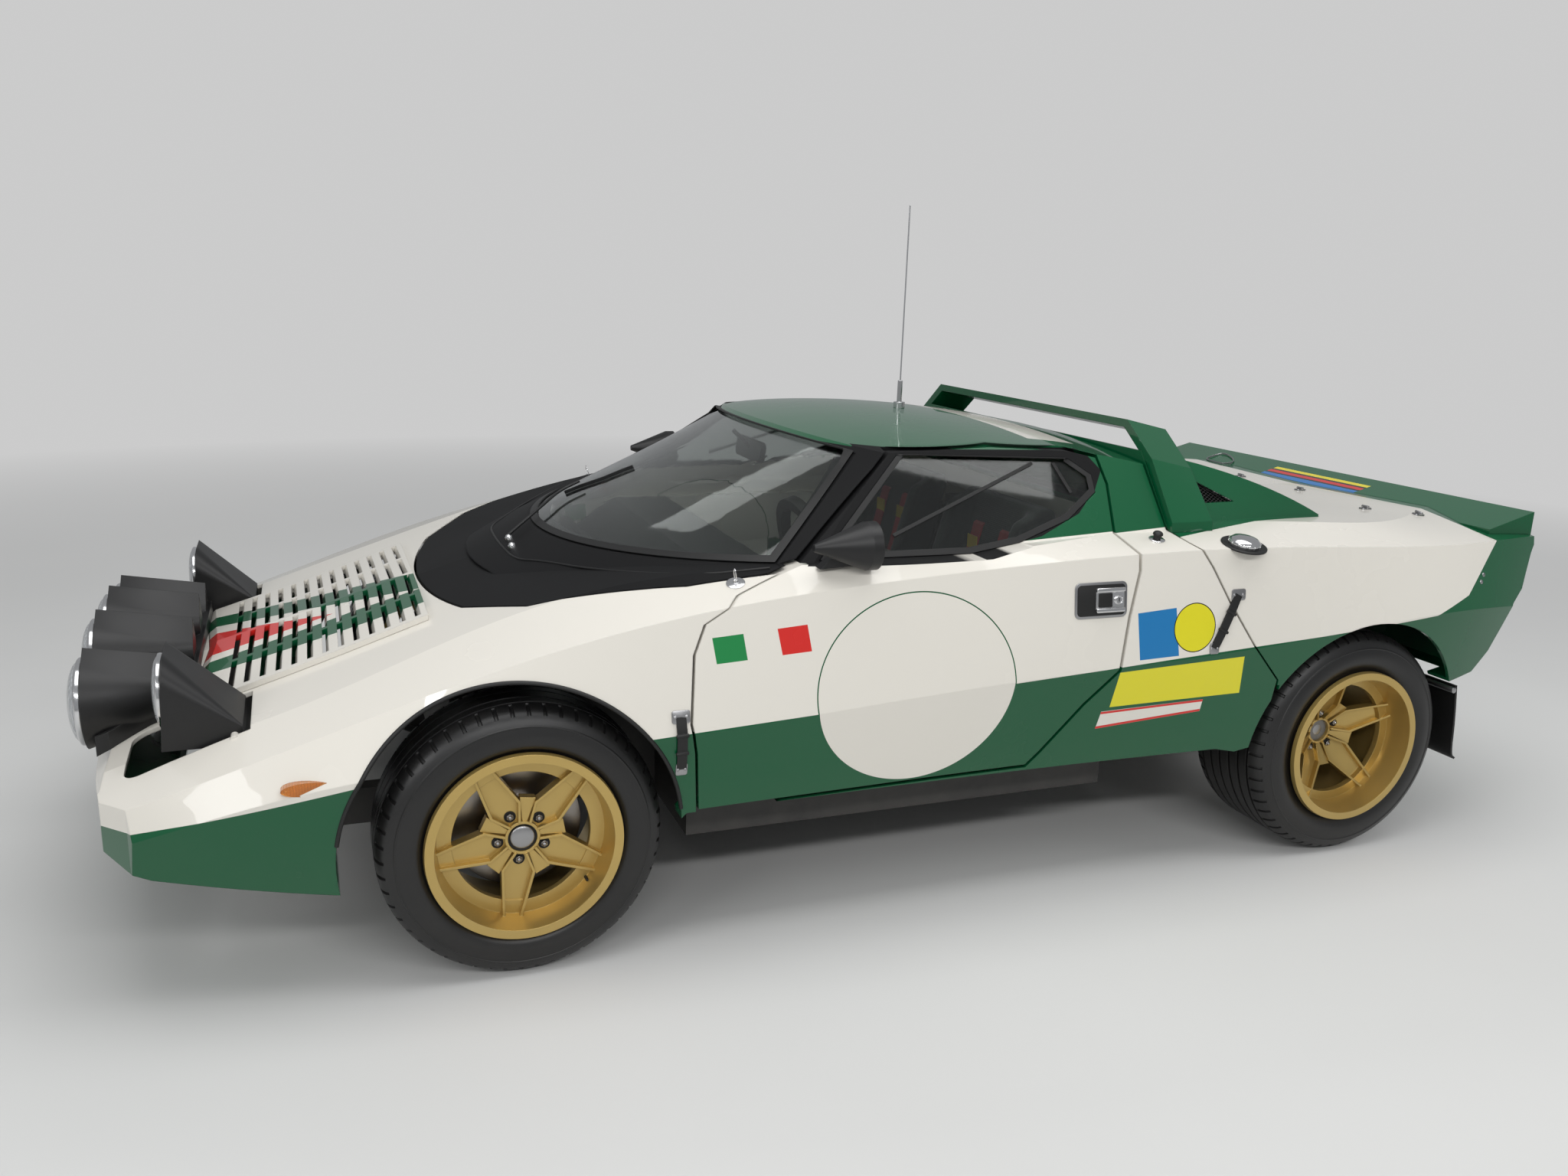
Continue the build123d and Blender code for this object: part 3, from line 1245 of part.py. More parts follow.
for name, axle_s, radius, width, lip_y, centre_y, dish, disc_y in WHEELS:
    inner_lip = 2 * centre_y - lip_y
    hub_y = lip_y - dish
    inside = RIM_BARREL_RADIUS - RIM_WALL
    shelf_depth, shelf_radius, _ = SHELVES[name]
    shelf_y = lip_y - shelf_depth
    boss_radius, boss_height = HUB_BOSS
    tray = [(r, half - SPOKE_RIB_WIDTH) for r, half in SPOKE_KITE]
    with BuildPart() as spokes:
        add(polar_prism(name, axle_s, radius, [SPOKE_KITE], 0))
        add(
            dished_ring(axle_s, radius, hub_y, shelf_y, SPOKE_BACK, SPOKE_FLOOR),
            mode=Mode.INTERSECT,
        )
    with BuildPart() as ribs:
        add(polar_prism(name, axle_s, radius, [SPOKE_KITE, tray], 0))
        add(
            dished_ring(axle_s, radius, hub_y, shelf_y, SPOKE_BACK, SPOKE_RIB_TOP),
            mode=Mode.INTERSECT,
        )
    with BuildPart() as wedges:
        add(polar_prism(name, axle_s, radius, [SPOKE_WEDGE], 180 / SPOKE_COUNT))
        add(
            dished_ring(axle_s, radius, hub_y, shelf_y, SPOKE_BACK, SPOKE_RIB_TOP / 2),
            mode=Mode.INTERSECT,
        )
    with BuildPart() as rim:
        add(ring_profile([
            (inner_lip, inside), (inner_lip, RIM_LIP_RADIUS), (inner_lip + RIM_LIP_WIDTH, RIM_LIP_RADIUS),
            (inner_lip + RIM_LIP_WIDTH, RIM_BARREL_RADIUS), (lip_y - RIM_LIP_WIDTH, RIM_BARREL_RADIUS),
            (lip_y - RIM_LIP_WIDTH, RIM_LIP_RADIUS), (lip_y, RIM_LIP_RADIUS - 2), (lip_y, inside + 4),
            (shelf_y, SHELF_OUTER_RADIUS), (shelf_y, shelf_radius),
            (shelf_y - SHELF_THICKNESS, shelf_radius), (shelf_y - SHELF_THICKNESS, inside),
        ], axle_s, radius))
        add(ring_profile([
            (hub_y - HUB_THICKNESS, HUB_BORE_RADIUS), (hub_y - HUB_THICKNESS, HUB_RADIUS),
            (hub_y + SPOKE_BACK, HUB_WEB_RADIUS), (hub_y + SPOKE_FLOOR, HUB_WEB_RADIUS),
            (hub_y + SPOKE_FLOOR, boss_radius), (hub_y + boss_height, boss_radius),
            (hub_y + boss_height, HUB_BORE_RADIUS),
        ], axle_s, radius))
        add(spokes.part)
        add(ribs.part)
        add(wedges.part)
    export_pair(rim.part, "rim_" + name)
    half = width / 2
    bead = half - TYRE_BEAD_INSET
    section = [(-bead, RIM_BARREL_RADIUS + SEAT_GAP), (-bead, RIM_LIP_RADIUS + 1)]
    section += [(inset - half, radius - drop) for inset, drop in TYRE_SHOULDER]
    section += [(-across, r) for across, r in reversed(section)]
    with BuildPart() as tyre:
        add(ring_profile([(centre_y + across, r) for across, r in section], axle_s, radius))
    export_pair(tyre.part, "tyre_" + name)
    with BuildPart() as disc:
        bore = HUB_BORE_RADIUS
        add(ring_profile([
            (disc_y, bore), (disc_y, DISC_RADIUS), (disc_y + DISC_THICKNESS, DISC_RADIUS),
            (disc_y + DISC_THICKNESS, DISC_HAT_RADIUS),
            (hub_y - HUB_THICKNESS - SEAT_GAP, DISC_HAT_RADIUS),
            (hub_y - HUB_THICKNESS - SEAT_GAP, bore),
        ], axle_s, radius))
    export_pair(disc.part, "disc_" + name)

# Cabin fittings
DASH_OUTLINE = [
    (BULKHEAD_S + PLATE, 560), (BULKHEAD_S + PLATE, 690), (520, 770), (690, 770), (700, 700),
    (640, 640),
]
DASH_HALF = 600
with BuildPart() as dashboard:
    add(side_prism(DASH_OUTLINE, -DASH_HALF, DASH_HALF))
export(dashboard.part, "dashboard")

SEAT_Y = 300
SEAT_HALF = 210
SEAT_OUTLINE = [
    (900, 235.3), (900, 430), (960, 445), (1225, 385), (1290, 480), (1390, 900), (1440, 900),
    (1350, 440), (1300, 235.3),
]
# Padded sides of the seat stand above its middle
BOLSTER_OUTLINE = [
    (930, 400), (900, 455), (965, 490), (1190, 450), (1235, 520), (1330, 860), (1385, 885),
    (1440, 890), (1350, 440), (1225, 385),
]
BOLSTER_WIDTH = 62
with BuildPart() as seat_right:
    add(side_prism(SEAT_OUTLINE, SEAT_Y - SEAT_HALF + 8, SEAT_Y + SEAT_HALF - 8))
    add(side_prism(BOLSTER_OUTLINE, SEAT_Y - SEAT_HALF, SEAT_Y - SEAT_HALF + BOLSTER_WIDTH))
    add(side_prism(BOLSTER_OUTLINE, SEAT_Y + SEAT_HALF - BOLSTER_WIDTH, SEAT_Y + SEAT_HALF))
export_pair(seat_right.part, "seat")

# Steering column and wheel: depths run along the column from the wheel's plane
WHEEL_CENTRE = (840, -SEAT_Y, 740)
COLUMN_DIRECTION = (-0.93969262, 0, -0.34202014)
WHEEL_RADIUS = 170
WHEEL_RIM_HALF = 14
WHEEL_HUB_RADIUS = 30
WHEEL_HUB_DEPTH = (-10, 19.7)
WHEEL_SPOKE = (30, -4, 6)  # width, depth and thickness
WHEEL_SPOKE_ANGLES = (0, 180, 90)
COLUMN_RADIUS = 18
COLUMN_DEPTH = (20, 220)
PIN_DEPTH = (-10, 30)
column_plane = Plane(
    origin=(station(WHEEL_CENTRE[0]), WHEEL_CENTRE[1], WHEEL_CENTRE[2]),
    x_dir=(0, 1, 0), z_dir=COLUMN_DIRECTION,
)
with BuildPart() as steering_column:
    with BuildSketch(column_plane.offset(PIN_DEPTH[0])):
        Circle(PIVOT_RADIUS)
    extrude(amount=PIN_DEPTH[1] - PIN_DEPTH[0])
    with BuildSketch(column_plane.offset(COLUMN_DEPTH[0])):
        Circle(COLUMN_RADIUS)
    extrude(amount=COLUMN_DEPTH[1] - COLUMN_DEPTH[0])
    add(dashboard.part, mode=Mode.SUBTRACT)
export(steering_column.part, "steering_column")
with BuildPart() as steering_wheel:
    with BuildSketch(column_plane.offset(WHEEL_HUB_DEPTH[0])):
        Circle(WHEEL_HUB_RADIUS)
        Circle(PIVOT_RADIUS + PIVOT_FIT, mode=Mode.SUBTRACT)
    extrude(amount=WHEEL_HUB_DEPTH[1] - WHEEL_HUB_DEPTH[0])
    with BuildSketch(column_plane.offset(-WHEEL_RIM_HALF)):
        Circle(WHEEL_RADIUS + WHEEL_RIM_HALF)
        Circle(WHEEL_RADIUS - WHEEL_RIM_HALF, mode=Mode.SUBTRACT)
    extrude(amount=2 * WHEEL_RIM_HALF)
    with BuildSketch(column_plane.offset(WHEEL_SPOKE[1])):
        for angle in WHEEL_SPOKE_ANGLES:
            with Locations(Location((0, 0, 0), (0, 0, angle))):
                Rectangle(
                    WHEEL_RADIUS - 6, WHEEL_SPOKE[0], align=(Align.MIN, Align.CENTER),
                )
        Circle(WHEEL_HUB_RADIUS - 6, mode=Mode.SUBTRACT)
    extrude(amount=WHEEL_SPOKE[2])
export(steering_wheel.part, "steering_wheel")
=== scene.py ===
import json
import math

import bmesh
import bpy
from bpy.props import FloatProperty, FloatVectorProperty, IntProperty, PointerProperty
from mathutils import Matrix, Vector


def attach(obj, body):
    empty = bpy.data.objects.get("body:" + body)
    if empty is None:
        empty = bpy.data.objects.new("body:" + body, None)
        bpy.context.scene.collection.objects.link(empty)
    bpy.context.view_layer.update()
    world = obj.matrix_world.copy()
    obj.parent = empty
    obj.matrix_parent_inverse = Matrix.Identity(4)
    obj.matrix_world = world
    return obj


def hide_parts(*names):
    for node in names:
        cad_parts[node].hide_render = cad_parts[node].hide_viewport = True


bl_info = {
    "name": "Rally Coupe Dresser",
    "version": (1, 0, 0),
    "blender": (4, 5, 0),
    "location": "3D View > Sidebar > Rally Coupe",
    "description": "Paints, glazes, shoes and trims the packed rally coupe",
    "category": "Object",
}

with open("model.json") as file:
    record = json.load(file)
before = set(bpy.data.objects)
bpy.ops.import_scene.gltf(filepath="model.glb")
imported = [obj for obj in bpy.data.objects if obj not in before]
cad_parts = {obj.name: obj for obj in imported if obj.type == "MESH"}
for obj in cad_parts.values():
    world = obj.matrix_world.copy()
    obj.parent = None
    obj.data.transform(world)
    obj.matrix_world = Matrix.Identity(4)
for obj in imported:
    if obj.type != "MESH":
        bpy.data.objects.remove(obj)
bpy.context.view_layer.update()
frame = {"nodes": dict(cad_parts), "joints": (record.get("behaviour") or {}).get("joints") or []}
MM = 0.001


def joint_place(name):
    """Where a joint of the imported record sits."""
    return next(Vector(j["pos_m"]) for j in frame["joints"] if j["name"] == name)


AXLE_X = joint_place("wheel_spin_front_left").x
SIDES = {"left": -1, "right": 1}
WHEELS = ("front_left", "front_right", "rear_left", "rear_right")
FORWARD, BACKWARD = Vector((-1, 0, 0)), Vector((1, 0, 0))
UP, DOWN = Vector((0, 0, 1)), Vector((0, 0, -1))


def at(distance, y, z):
    """Point in the frame, from millimetres behind the front axle, a Y and a height."""
    return Vector((AXLE_X + distance * MM, y * MM, z * MM))


def length_of(name, description, default):
    return FloatProperty(name=name, description=description, default=default, unit="LENGTH")


def colour_of(name, description, default):
    return FloatVectorProperty(name=name, description=description, default=default,
                               subtype="COLOR")


class RallySizes(bpy.types.PropertyGroup):
    """Sizes that a user would change."""

    tread_depth: length_of("Tread depth", "Depth of the tyre grooves", 0.008)
    tread_blocks: IntProperty(
        name="Tread blocks", description="Blocks round each shoulder of a tyre", default=54, min=12)
    seal_width: length_of("Seal width", "Width of the rubber seals", 0.016)
    strap_width: length_of("Strap width", "Width of the rubber hold-down straps", 0.022)
    harness_width: length_of("Harness width", "Width of the seat belt webbing", 0.05)
    camera_lens: FloatProperty(
        name="Camera lens", description="Focal length of the camera", default=28.73, unit="CAMERA")
    key_power: FloatProperty(
        name="Key light", description="Power of the overhead light", default=235.0, unit="POWER")


class RallyColours(bpy.types.PropertyGroup):
    """Colours of the finishes."""

    body_white: colour_of("Body white", "Upper body paint", (0.74, 0.71, 0.645))
    body_green: colour_of("Body green", "Lower body and roof paint", (0.003, 0.088, 0.032))
    stripe_red: colour_of("Stripe red", "Red of the stripes", (0.62, 0.025, 0.02))
    wheel_gold: colour_of("Wheel gold", "Paint of the wheels", (0.60, 0.42, 0.13))
    satin_black: colour_of("Satin black", "Lamp cowls and window frames", (0.007, 0.007, 0.0075))
    harness_red: colour_of("Harness red", "Seat belt webbing", (0.55, 0.02, 0.03))


def sizes():
    return bpy.context.scene.rally_sizes


def colours():
    return bpy.context.scene.rally_colours


# Node helpers


def is_socket(value):
    return isinstance(value, bpy.types.NodeSocket)


def feed(tree, target, value):
    """Link a socket or set a plain value."""
    if is_socket(value):
        tree.links.new(value, target)
    else:
        target.default_value = value


def add_node(tree, kind, *given, **settings):
    """Shader node with its settings, its first inputs fed in order."""
    node = tree.nodes.new("ShaderNode" + kind)
    for name, value in settings.items():
        setattr(node, name, value)
    for target, value in zip(node.inputs, given):
        feed(tree, target, value)
    return node


def calc(tree, operation, a, b=0.0, c=0.0, clamp=False):
    """Math node; returns its output."""
    return add_node(tree, "Math", a, b, c, operation=operation, use_clamp=clamp).outputs[0]


def blend_colour(tree, factor, low, high):
    """Mix two colours; returns the output."""
    node = add_node(tree, "Mix", factor, data_type="RGBA")
    for target, value in ((node.inputs[6], low), (node.inputs[7], high)):
        feed(tree, target, value if is_socket(value) else (*value[:3], 1.0))
    return node.outputs[2]


def noise(tree, vector, scale, detail, roughness=0.5):
    """Noise texture; returns its value."""
    node = add_node(tree, "TexNoise", vector)
    for label, value in (("Scale", scale), ("Detail", detail), ("Roughness", roughness)):
        feed(tree, node.inputs[label], value)
    return node.outputs["Fac"]


def rounded_normal(tree, radius):
    node = add_node(tree, "Bevel", samples=4)
    feed(tree, node.inputs["Radius"], radius)
    return node.outputs["Normal"]


def make_grain(tree, place, scale, patch_scale):
    """Fine surface grain: a height and a slow variation."""
    return noise(tree, place, scale, 3.0), noise(tree, place, patch_scale, 4.0)


def make_dust(tree, place, top, amount):
    """Road dust: strongest low down and in patches."""
    parts = add_node(tree, "SeparateXYZ", place)
    low = calc(tree, "DIVIDE", parts.outputs["Z"], top)
    falling = calc(tree, "SUBTRACT", 1.0, low, clamp=True)
    spotted = calc(tree, "MULTIPLY", falling, noise(tree, place, 9.0, 5.0, 0.65))
    return [calc(tree, "MULTIPLY", spotted, amount, clamp=True)]


def make_weave(tree, place, threads):
    """Woven cloth in two directions: a height."""
    waves = [add_node(tree, "TexWave", place, threads, 0.6, bands_direction=axis)
             for axis in ("X", "Z")]
    return [calc(tree, "MULTIPLY", *[wave.outputs["Fac"] for wave in waves])]


def make_wear(tree, place, radius, amount):
    """Bare edges: where the rounded normal leaves the true one."""
    geometry = add_node(tree, "NewGeometry")
    dot = add_node(tree, "VectorMath", rounded_normal(tree, radius), geometry.outputs["Normal"],
                   operation="DOT_PRODUCT")
    turned = calc(tree, "SUBTRACT", 1.0, dot.outputs["Value"])
    sharp = calc(tree, "MULTIPLY", turned, 4.0, clamp=True)
    broken = calc(tree, "MULTIPLY", sharp, noise(tree, place, 60.0, 4.0))
    return [calc(tree, "MULTIPLY", broken, amount, clamp=True)]


def make_round(tree, place, radius):
    """Normals rounded over every edge, as a mould or a press leaves them."""
    return [rounded_normal(tree, radius)]


GROUPS = {}
GROUP_PLANS = {  # kind: name, maker, float inputs, outputs
    "round": ("round_edges", make_round, {"Radius": 0.003}, ("Normal",)),
    "grain": ("surface_grain", make_grain, {"Scale": 300.0, "Patch Scale": 6.0},
              ("Height", "Patches")),
    "dust": ("road_dust", make_dust, {"Top": 0.6, "Amount": 0.3}, ("Mask",)),
    "weave": ("cloth_weave", make_weave, {"Threads": 900.0}, ("Height",)),
    "wear": ("edge_wear", make_wear, {"Radius": 0.004, "Amount": 0.5}, ("Mask",)),
}


def shared_group(kind):
    """Shader group of a kind, made when it is first asked for."""
    if kind in GROUPS:
        return GROUPS[kind]
    name, maker, inputs, outputs = GROUP_PLANS[kind]
    group = bpy.data.node_groups.new(name, "ShaderNodeTree")
    group.interface.new_socket("Vector", in_out="INPUT", socket_type="NodeSocketVector")
    for label, value in inputs.items():
        socket = group.interface.new_socket(label, in_out="INPUT", socket_type="NodeSocketFloat")
        socket.default_value = value
    for label in outputs:
        socket_type = "NodeSocketVector" if label == "Normal" else "NodeSocketFloat"
        group.interface.new_socket(label, in_out="OUTPUT", socket_type=socket_type)
    given, out = group.nodes.new("NodeGroupInput"), group.nodes.new("NodeGroupOutput")
    for label, value in zip(outputs, maker(group, *given.outputs[:len(inputs) + 1])):
        group.links.new(value, out.inputs[label])
    GROUPS[kind] = group
    return group


def effect(tree, kind, vector, **values):
    """Place a shared group in a material with its own values; returns the outputs."""
    node = tree.nodes.new("ShaderNodeGroup")
    node.node_tree = shared_group(kind)
    tree.links.new(vector, node.inputs["Vector"])
    for label, value in values.items():
        node.inputs[label.replace("_", " ")].default_value = value
    return node.outputs


class Finish:
    """One material: its tree, its shader and the object coordinates."""

    def __init__(self, name, roughness=0.5, metallic=0.0, coat=0.0, specular=0.5, sheen=0.0,
                 transmission=0.0, ior=1.5):
        self.material = bpy.data.materials.new(name)
        self.material.use_nodes = True
        self.tree = self.material.node_tree
        self.tree.nodes.clear()
        self.shader = add_node(self.tree, "BsdfPrincipled")
        self.out = add_node(self.tree, "OutputMaterial", self.shader.outputs[0])
        self.place = add_node(self.tree, "TexCoord").outputs["Object"]
        for label, value in (
                ("Roughness", roughness), ("Metallic", metallic), ("Coat Weight", coat),
                ("Coat Roughness", 0.03), ("Specular IOR Level", specular),
                ("Sheen Weight", sheen), ("Transmission Weight", transmission), ("IOR", ior)):
            self.shader.inputs[label].default_value = value

    def colour(self, value):
        feed(self.tree, self.shader.inputs["Base Color"], value)

    def rough(self, value):
        feed(self.tree, self.shader.inputs["Roughness"], value)

    def grain(self, scale, patch_scale):
        """Height and patches of the shared grain."""
        return effect(self.tree, "grain", self.place, Scale=scale, Patch_Scale=patch_scale)

    def blend(self, factor, low, high):
        return blend_colour(self.tree, factor, low, high)

    def bump(self, height, strength, distance, edge=0.0):
        node = add_node(self.tree, "Bump", strength, distance)
        if edge:
            soft = effect(self.tree, "round", self.place, Radius=edge)
            self.tree.links.new(soft["Normal"], node.inputs["Normal"])
        self.tree.links.new(height, node.inputs["Height"])
        self.tree.links.new(node.outputs[0], self.shader.inputs["Normal"])

    def spread(self, low, high, value):
        """A value that runs from low to high with a 0 to 1 mask."""
        return calc(self.tree, "MULTIPLY_ADD", value, high - low, low)

    def mix_with(self, factor, other):
        """The surface gives way to another shader."""
        mix = add_node(self.tree, "MixShader", factor, self.shader.outputs[0], other.outputs[0])
        self.tree.links.new(mix.outputs[0], self.out.inputs[0])


def darker(colour, factor):
    return tuple(c * factor for c in colour)


def plain_finish(name, colour, roughness, grain_scale, depth, metallic=0.0, coat=0.0, dust=0.0,
                 wear=0.0):
    """Solid colour with grain, dust and worn edges."""
    finish = Finish(name, roughness, metallic, coat)
    height, patches = finish.grain(grain_scale, 7.0)
    shade = finish.blend(patches, darker(colour, 0.82), colour)
    if wear:
        bare = effect(finish.tree, "wear", finish.place, Radius=0.003, Amount=wear)
        shade = finish.blend(bare["Mask"], shade, (0.45, 0.44, 0.42))
    if dust:
        settled = effect(finish.tree, "dust", finish.place, Top=0.75, Amount=dust)
        shade = finish.blend(settled["Mask"], shade, (0.30, 0.27, 0.23))
    finish.colour(shade)
    finish.rough(finish.spread(max(0.02, roughness - 0.08), roughness + 0.08, patches))
    finish.bump(height, 0.5, depth, edge=0.002)
    return finish.material


def woven_finish(name, colour, threads):
    """Cloth with a visible weave and a soft sheen, darker in the low parts of the weave as painted
    shade between the threads.
    """
    finish = Finish(name, roughness=0.85, sheen=0.3)
    height = effect(finish.tree, "weave", finish.place, Threads=threads)["Height"]
    patches = finish.grain(40.0, 9.0)["Patches"]
    shade = finish.blend(patches, darker(colour, 0.75), colour)
    # Darker where the weave is low: painted shade between the threads
    finish.colour(finish.blend(height, darker(colour, 0.6), shade))
    finish.bump(height, 0.7, 0.0008)
    return finish.material


def glass_finish(name):
    """Clear sheet that lets light into the cabin. Its grey tint is partly the glass's own and
    partly painted shade that darkens the cabin behind it.
    """
    # Grey tint: partly the glass's own, and made darker as painted shade of the cabin inside. The
    # shadow rays carry it too.
    tint_and_cabin_shade = (0.68, 0.72, 0.70)
    finish = Finish(name, roughness=0.02, transmission=1.0, ior=1.45)
    patches = finish.grain(30.0, 5.0)["Patches"]
    finish.colour(finish.blend(patches, tint_and_cabin_shade, darker(tint_and_cabin_shade, 0.96)))
    finish.rough(finish.spread(0.0, 0.05, patches))
    path = add_node(finish.tree, "LightPath")
    see_through = add_node(finish.tree, "BsdfTransparent", (*darker(tint_and_cabin_shade, 0.95), 1.0))
    finish.mix_with(calc(finish.tree, "MULTIPLY", path.outputs["Is Shadow Ray"], 0.8), see_through)
    return finish.material


def lens_finish(name, colour, rib_scale, axis="Y"):
    """Moulded lens with ribs, its colour darker in the troughs of the ribs as painted shade."""
    finish = Finish(name, roughness=0.08, coat=0.6, transmission=0.7, ior=1.49)
    ribs = add_node(finish.tree, "TexWave", finish.place, rib_scale, bands_direction=axis)
    # Darker in the troughs of the ribs: painted shade
    finish.colour(finish.blend(ribs.outputs["Fac"], darker(colour, 0.8), colour))
    finish.bump(ribs.outputs["Fac"], 0.6, 0.0012)
    return finish.material


# Livery, in the side view: points are (station, z), in the plan (station, y)

LOWER_LINE_NOSE = ((-794, 380), (-364, 466))
LOWER_LINES = [((150, 515), (640, 540)), ((640, 540), (1370, 582)), ((1370, 582), (2000, 625)),
               ((2000, 625), (2450, 660))]
TAIL_LINES = [((2404, 660), (2516, 698)), ((2516, 698), (2658, 831))]
BELT_LINE = ((640, 848), (1480, 888))
QUARTER_LINE = ((1300, 874), (1620, 892))
COWL_LINE = ((-200, 640), (660, 826))
PILLAR_LINE = ((620, 835), (900, 1078))
WINDOW_BLACK = ((640, 845), (1075, 853), (1253, 883), (1374, 928), (1442, 980), (1476, 1022),
                (1440, 1068), (925, 1078), (850, 1078))
HOOD_DIAGONAL = ((-660, 195), (-120, -186), (-120, -34), (-660, 304))
HOOD_STRAIGHT = ((-660, -228), (-120, -298), (-120, -176), (-300, -150), (-660, -152))
HOOD_WEDGE = ((-660, -104), (-342, -108), (-342, -106), (-660, 116))
DOOR_DISC = ((878, 571), 492, 440)  # centre, width and height
DOOR_SQUARES = (((404, 665), (473, 669), (465, 725), (396, 720)),
                ((552, 674), (620, 678), (611, 736), (542, 731)))
SQUARE_GREEN = (0.015, 0.22, 0.06)
LABEL_SQUARE = ((1464, 599), (1575, 603), (1563, 721), (1455, 713))
LABEL_DISC = ((1618, 670), 115, 117)
LABEL_PANEL = ((1399, 482), (1778, 489), (1771, 588), (1412, 572))
LABEL_STRIP = ((1369, 427), (1668, 448), (1671, 480), (1378, 472))
LABEL_LINES = (((1369, 427), (1668, 448), (1668, 454), (1369, 433)),
               ((1377, 465), (1671, 474), (1671, 480), (1377, 471)))
LABEL_BLUE, LABEL_YELLOW, LABEL_EDGE = (0.015, 0.18, 0.44), (0.72, 0.66, 0.02), (0.01, 0.01, 0.01)
STRIPES = [  # across the spoiler: front and rear station, colour
    (2785, 2802, (0.72, 0.60, 0.02)), (2775, 2785, (0.012, 0.012, 0.012)),
    (2758, 2775, (0.55, 0.02, 0.02)), (2749, 2758, (0.012, 0.012, 0.012)),
    (2724, 2749, (0.02, 0.16, 0.44))]
STRIPE_REACH = 210
LINE_SHARPNESS = 1.0 / 0.0006
OVAL_SHARPNESS = 400.0
PAINT_COAT = 0.7


class Paint(Finish):
    """Body paint and its masks in folded coordinates: X, the absolute Y, and Z."""

    def __init__(self, name, shade):
        super().__init__(name, roughness=0.24, coat=PAINT_COAT, specular=0.15)
        self.shade = shade
        self.x, y, self.z = add_node(self.tree, "SeparateXYZ", self.place).outputs
        folded = (self.x, calc(self.tree, "ABSOLUTE", y), self.z)
        self.folded = add_node(self.tree, "CombineXYZ", *folded).outputs[0]

    def beyond(self, point, direction, folded=True):
        """1 where a place, folded or not, lies beyond a plane through point, along direction."""
        unit = Vector(direction).normalized()
        dot = add_node(self.tree, "VectorMath", self.folded if folded else self.place, unit,
                       operation="DOT_PRODUCT")
        offset = 0.5 - unit.dot(Vector(point)) * LINE_SHARPNESS
        return calc(self.tree, "MULTIPLY_ADD", dot.outputs["Value"], LINE_SHARPNESS, offset,
                    clamp=True)

    def side_line(self, first, second, flip=False):
        """1 on the left of a side-view line, walked from first to second."""
        start, end = at(first[0], 0, first[1]), at(second[0], 0, second[1])
        run = end - start
        normal = Vector((-run.z, 0, run.x))
        return self.beyond(start, -normal if flip else normal)

    def join(self, operation, masks):
        result = masks[0]
        for mask in masks[1:]:
            result = calc(self.tree, operation, result, mask)
        return result

    def all_of(self, *masks):
        return self.join("MINIMUM", masks)

    def any_of(self, *masks):
        return self.join("MAXIMUM", masks)

    def polygon(self, corners):
        """1 inside a convex side-view outline walked anticlockwise."""
        following = corners[1:] + corners[:1]
        return self.all_of(*[self.side_line(a, b) for a, b in zip(corners, following)])

    def within(self, behind=None, before=None, inside=None, over=None, under=None):
        """1 between limits: stations, a distance from the middle, and heights."""
        limits = ((behind, 0, 1), (before, 0, -1), (inside, 1, -1), (over, 2, 1), (under, 2, -1))
        masks = []
        for limit, axis, way in limits:
            if limit is not None:
                spot, direction = [0, 0, 0], [0, 0, 0]
                spot[axis], direction[axis] = limit, way
                masks.append(self.beyond(at(*spot), direction))
        return self.all_of(*masks)

    def plan(self, corners):
        """1 inside a convex outline seen from above, walked anticlockwise."""
        masks = []
        for a, b in zip(corners, corners[1:] + corners[:1]):
            run = at(*b, 0) - at(*a, 0)
            masks.append(self.beyond(at(*a, 0), Vector((-run.y, run.x, 0)), folded=False))
        return self.all_of(*masks)

    def oval(self, centre, width, height, grow=0.0):
        """1 inside an upright ellipse in the side view."""
        middle = at(centre[0], 0, centre[1])
        squares = []
        for source, mid, size in ((self.x, middle.x, width), (self.z, middle.z, height)):
            half = (size / 2 + grow) * MM
            scaled = calc(self.tree, "MULTIPLY_ADD", source, 1 / half, -mid / half)
            squares.append(calc(self.tree, "MULTIPLY", scaled, scaled))
        total = calc(self.tree, "ADD", *squares)
        return calc(self.tree, "MULTIPLY_ADD", total, -OVAL_SHARPNESS, OVAL_SHARPNESS + 0.5,
                    clamp=True)

    def below(self, lines):
        """1 below any of several side-view lines."""
        return self.any_of(*[self.side_line(*line, flip=True) for line in lines])

    def lower_body(self):
        """1 below the crease that runs the length of the body."""
        return self.all_of(self.below([LOWER_LINE_NOSE]), self.below(LOWER_LINES))

    def cover(self, mask, colour):
        self.shade = self.blend(mask, self.shade, colour)

    def finished(self, matt=None):
        """Shared top of the paint: faint ripple, dust low down, gloss except where matt."""
        height, patches = self.grain(420.0, 3.0)
        settled = effect(self.tree, "dust", self.place, Top=0.42, Amount=0.12)
        self.colour(self.blend(settled["Mask"], self.shade, (0.32, 0.29, 0.25)))
        gloss = self.spread(0.2, 0.32, patches)
        if matt is not None:
            gloss = calc(self.tree, "MULTIPLY_ADD", matt, 0.34, gloss)
            feed(self.tree, self.shader.inputs["Coat Weight"],
                 calc(self.tree, "MULTIPLY_ADD", matt, -PAINT_COAT, PAINT_COAT))
        self.rough(gloss)
        self.bump(height, 0.25, 0.00006, edge=0.004)
        return self.material


def paint_front_clam(name):
    paint = Paint(name, colours().body_white)
    paint.cover(paint.lower_body(), colours().body_green)
    return paint.finished()


def paint_hood(name):
    """White, with a green diagonal and a green straight band round a red wedge."""
    paint = Paint(name, colours().body_white)
    paint.cover(paint.any_of(paint.plan(HOOD_DIAGONAL), paint.plan(HOOD_STRAIGHT)),
                colours().body_green)
    paint.cover(paint.plan(HOOD_WEDGE), colours().stripe_red)
    return paint.finished()


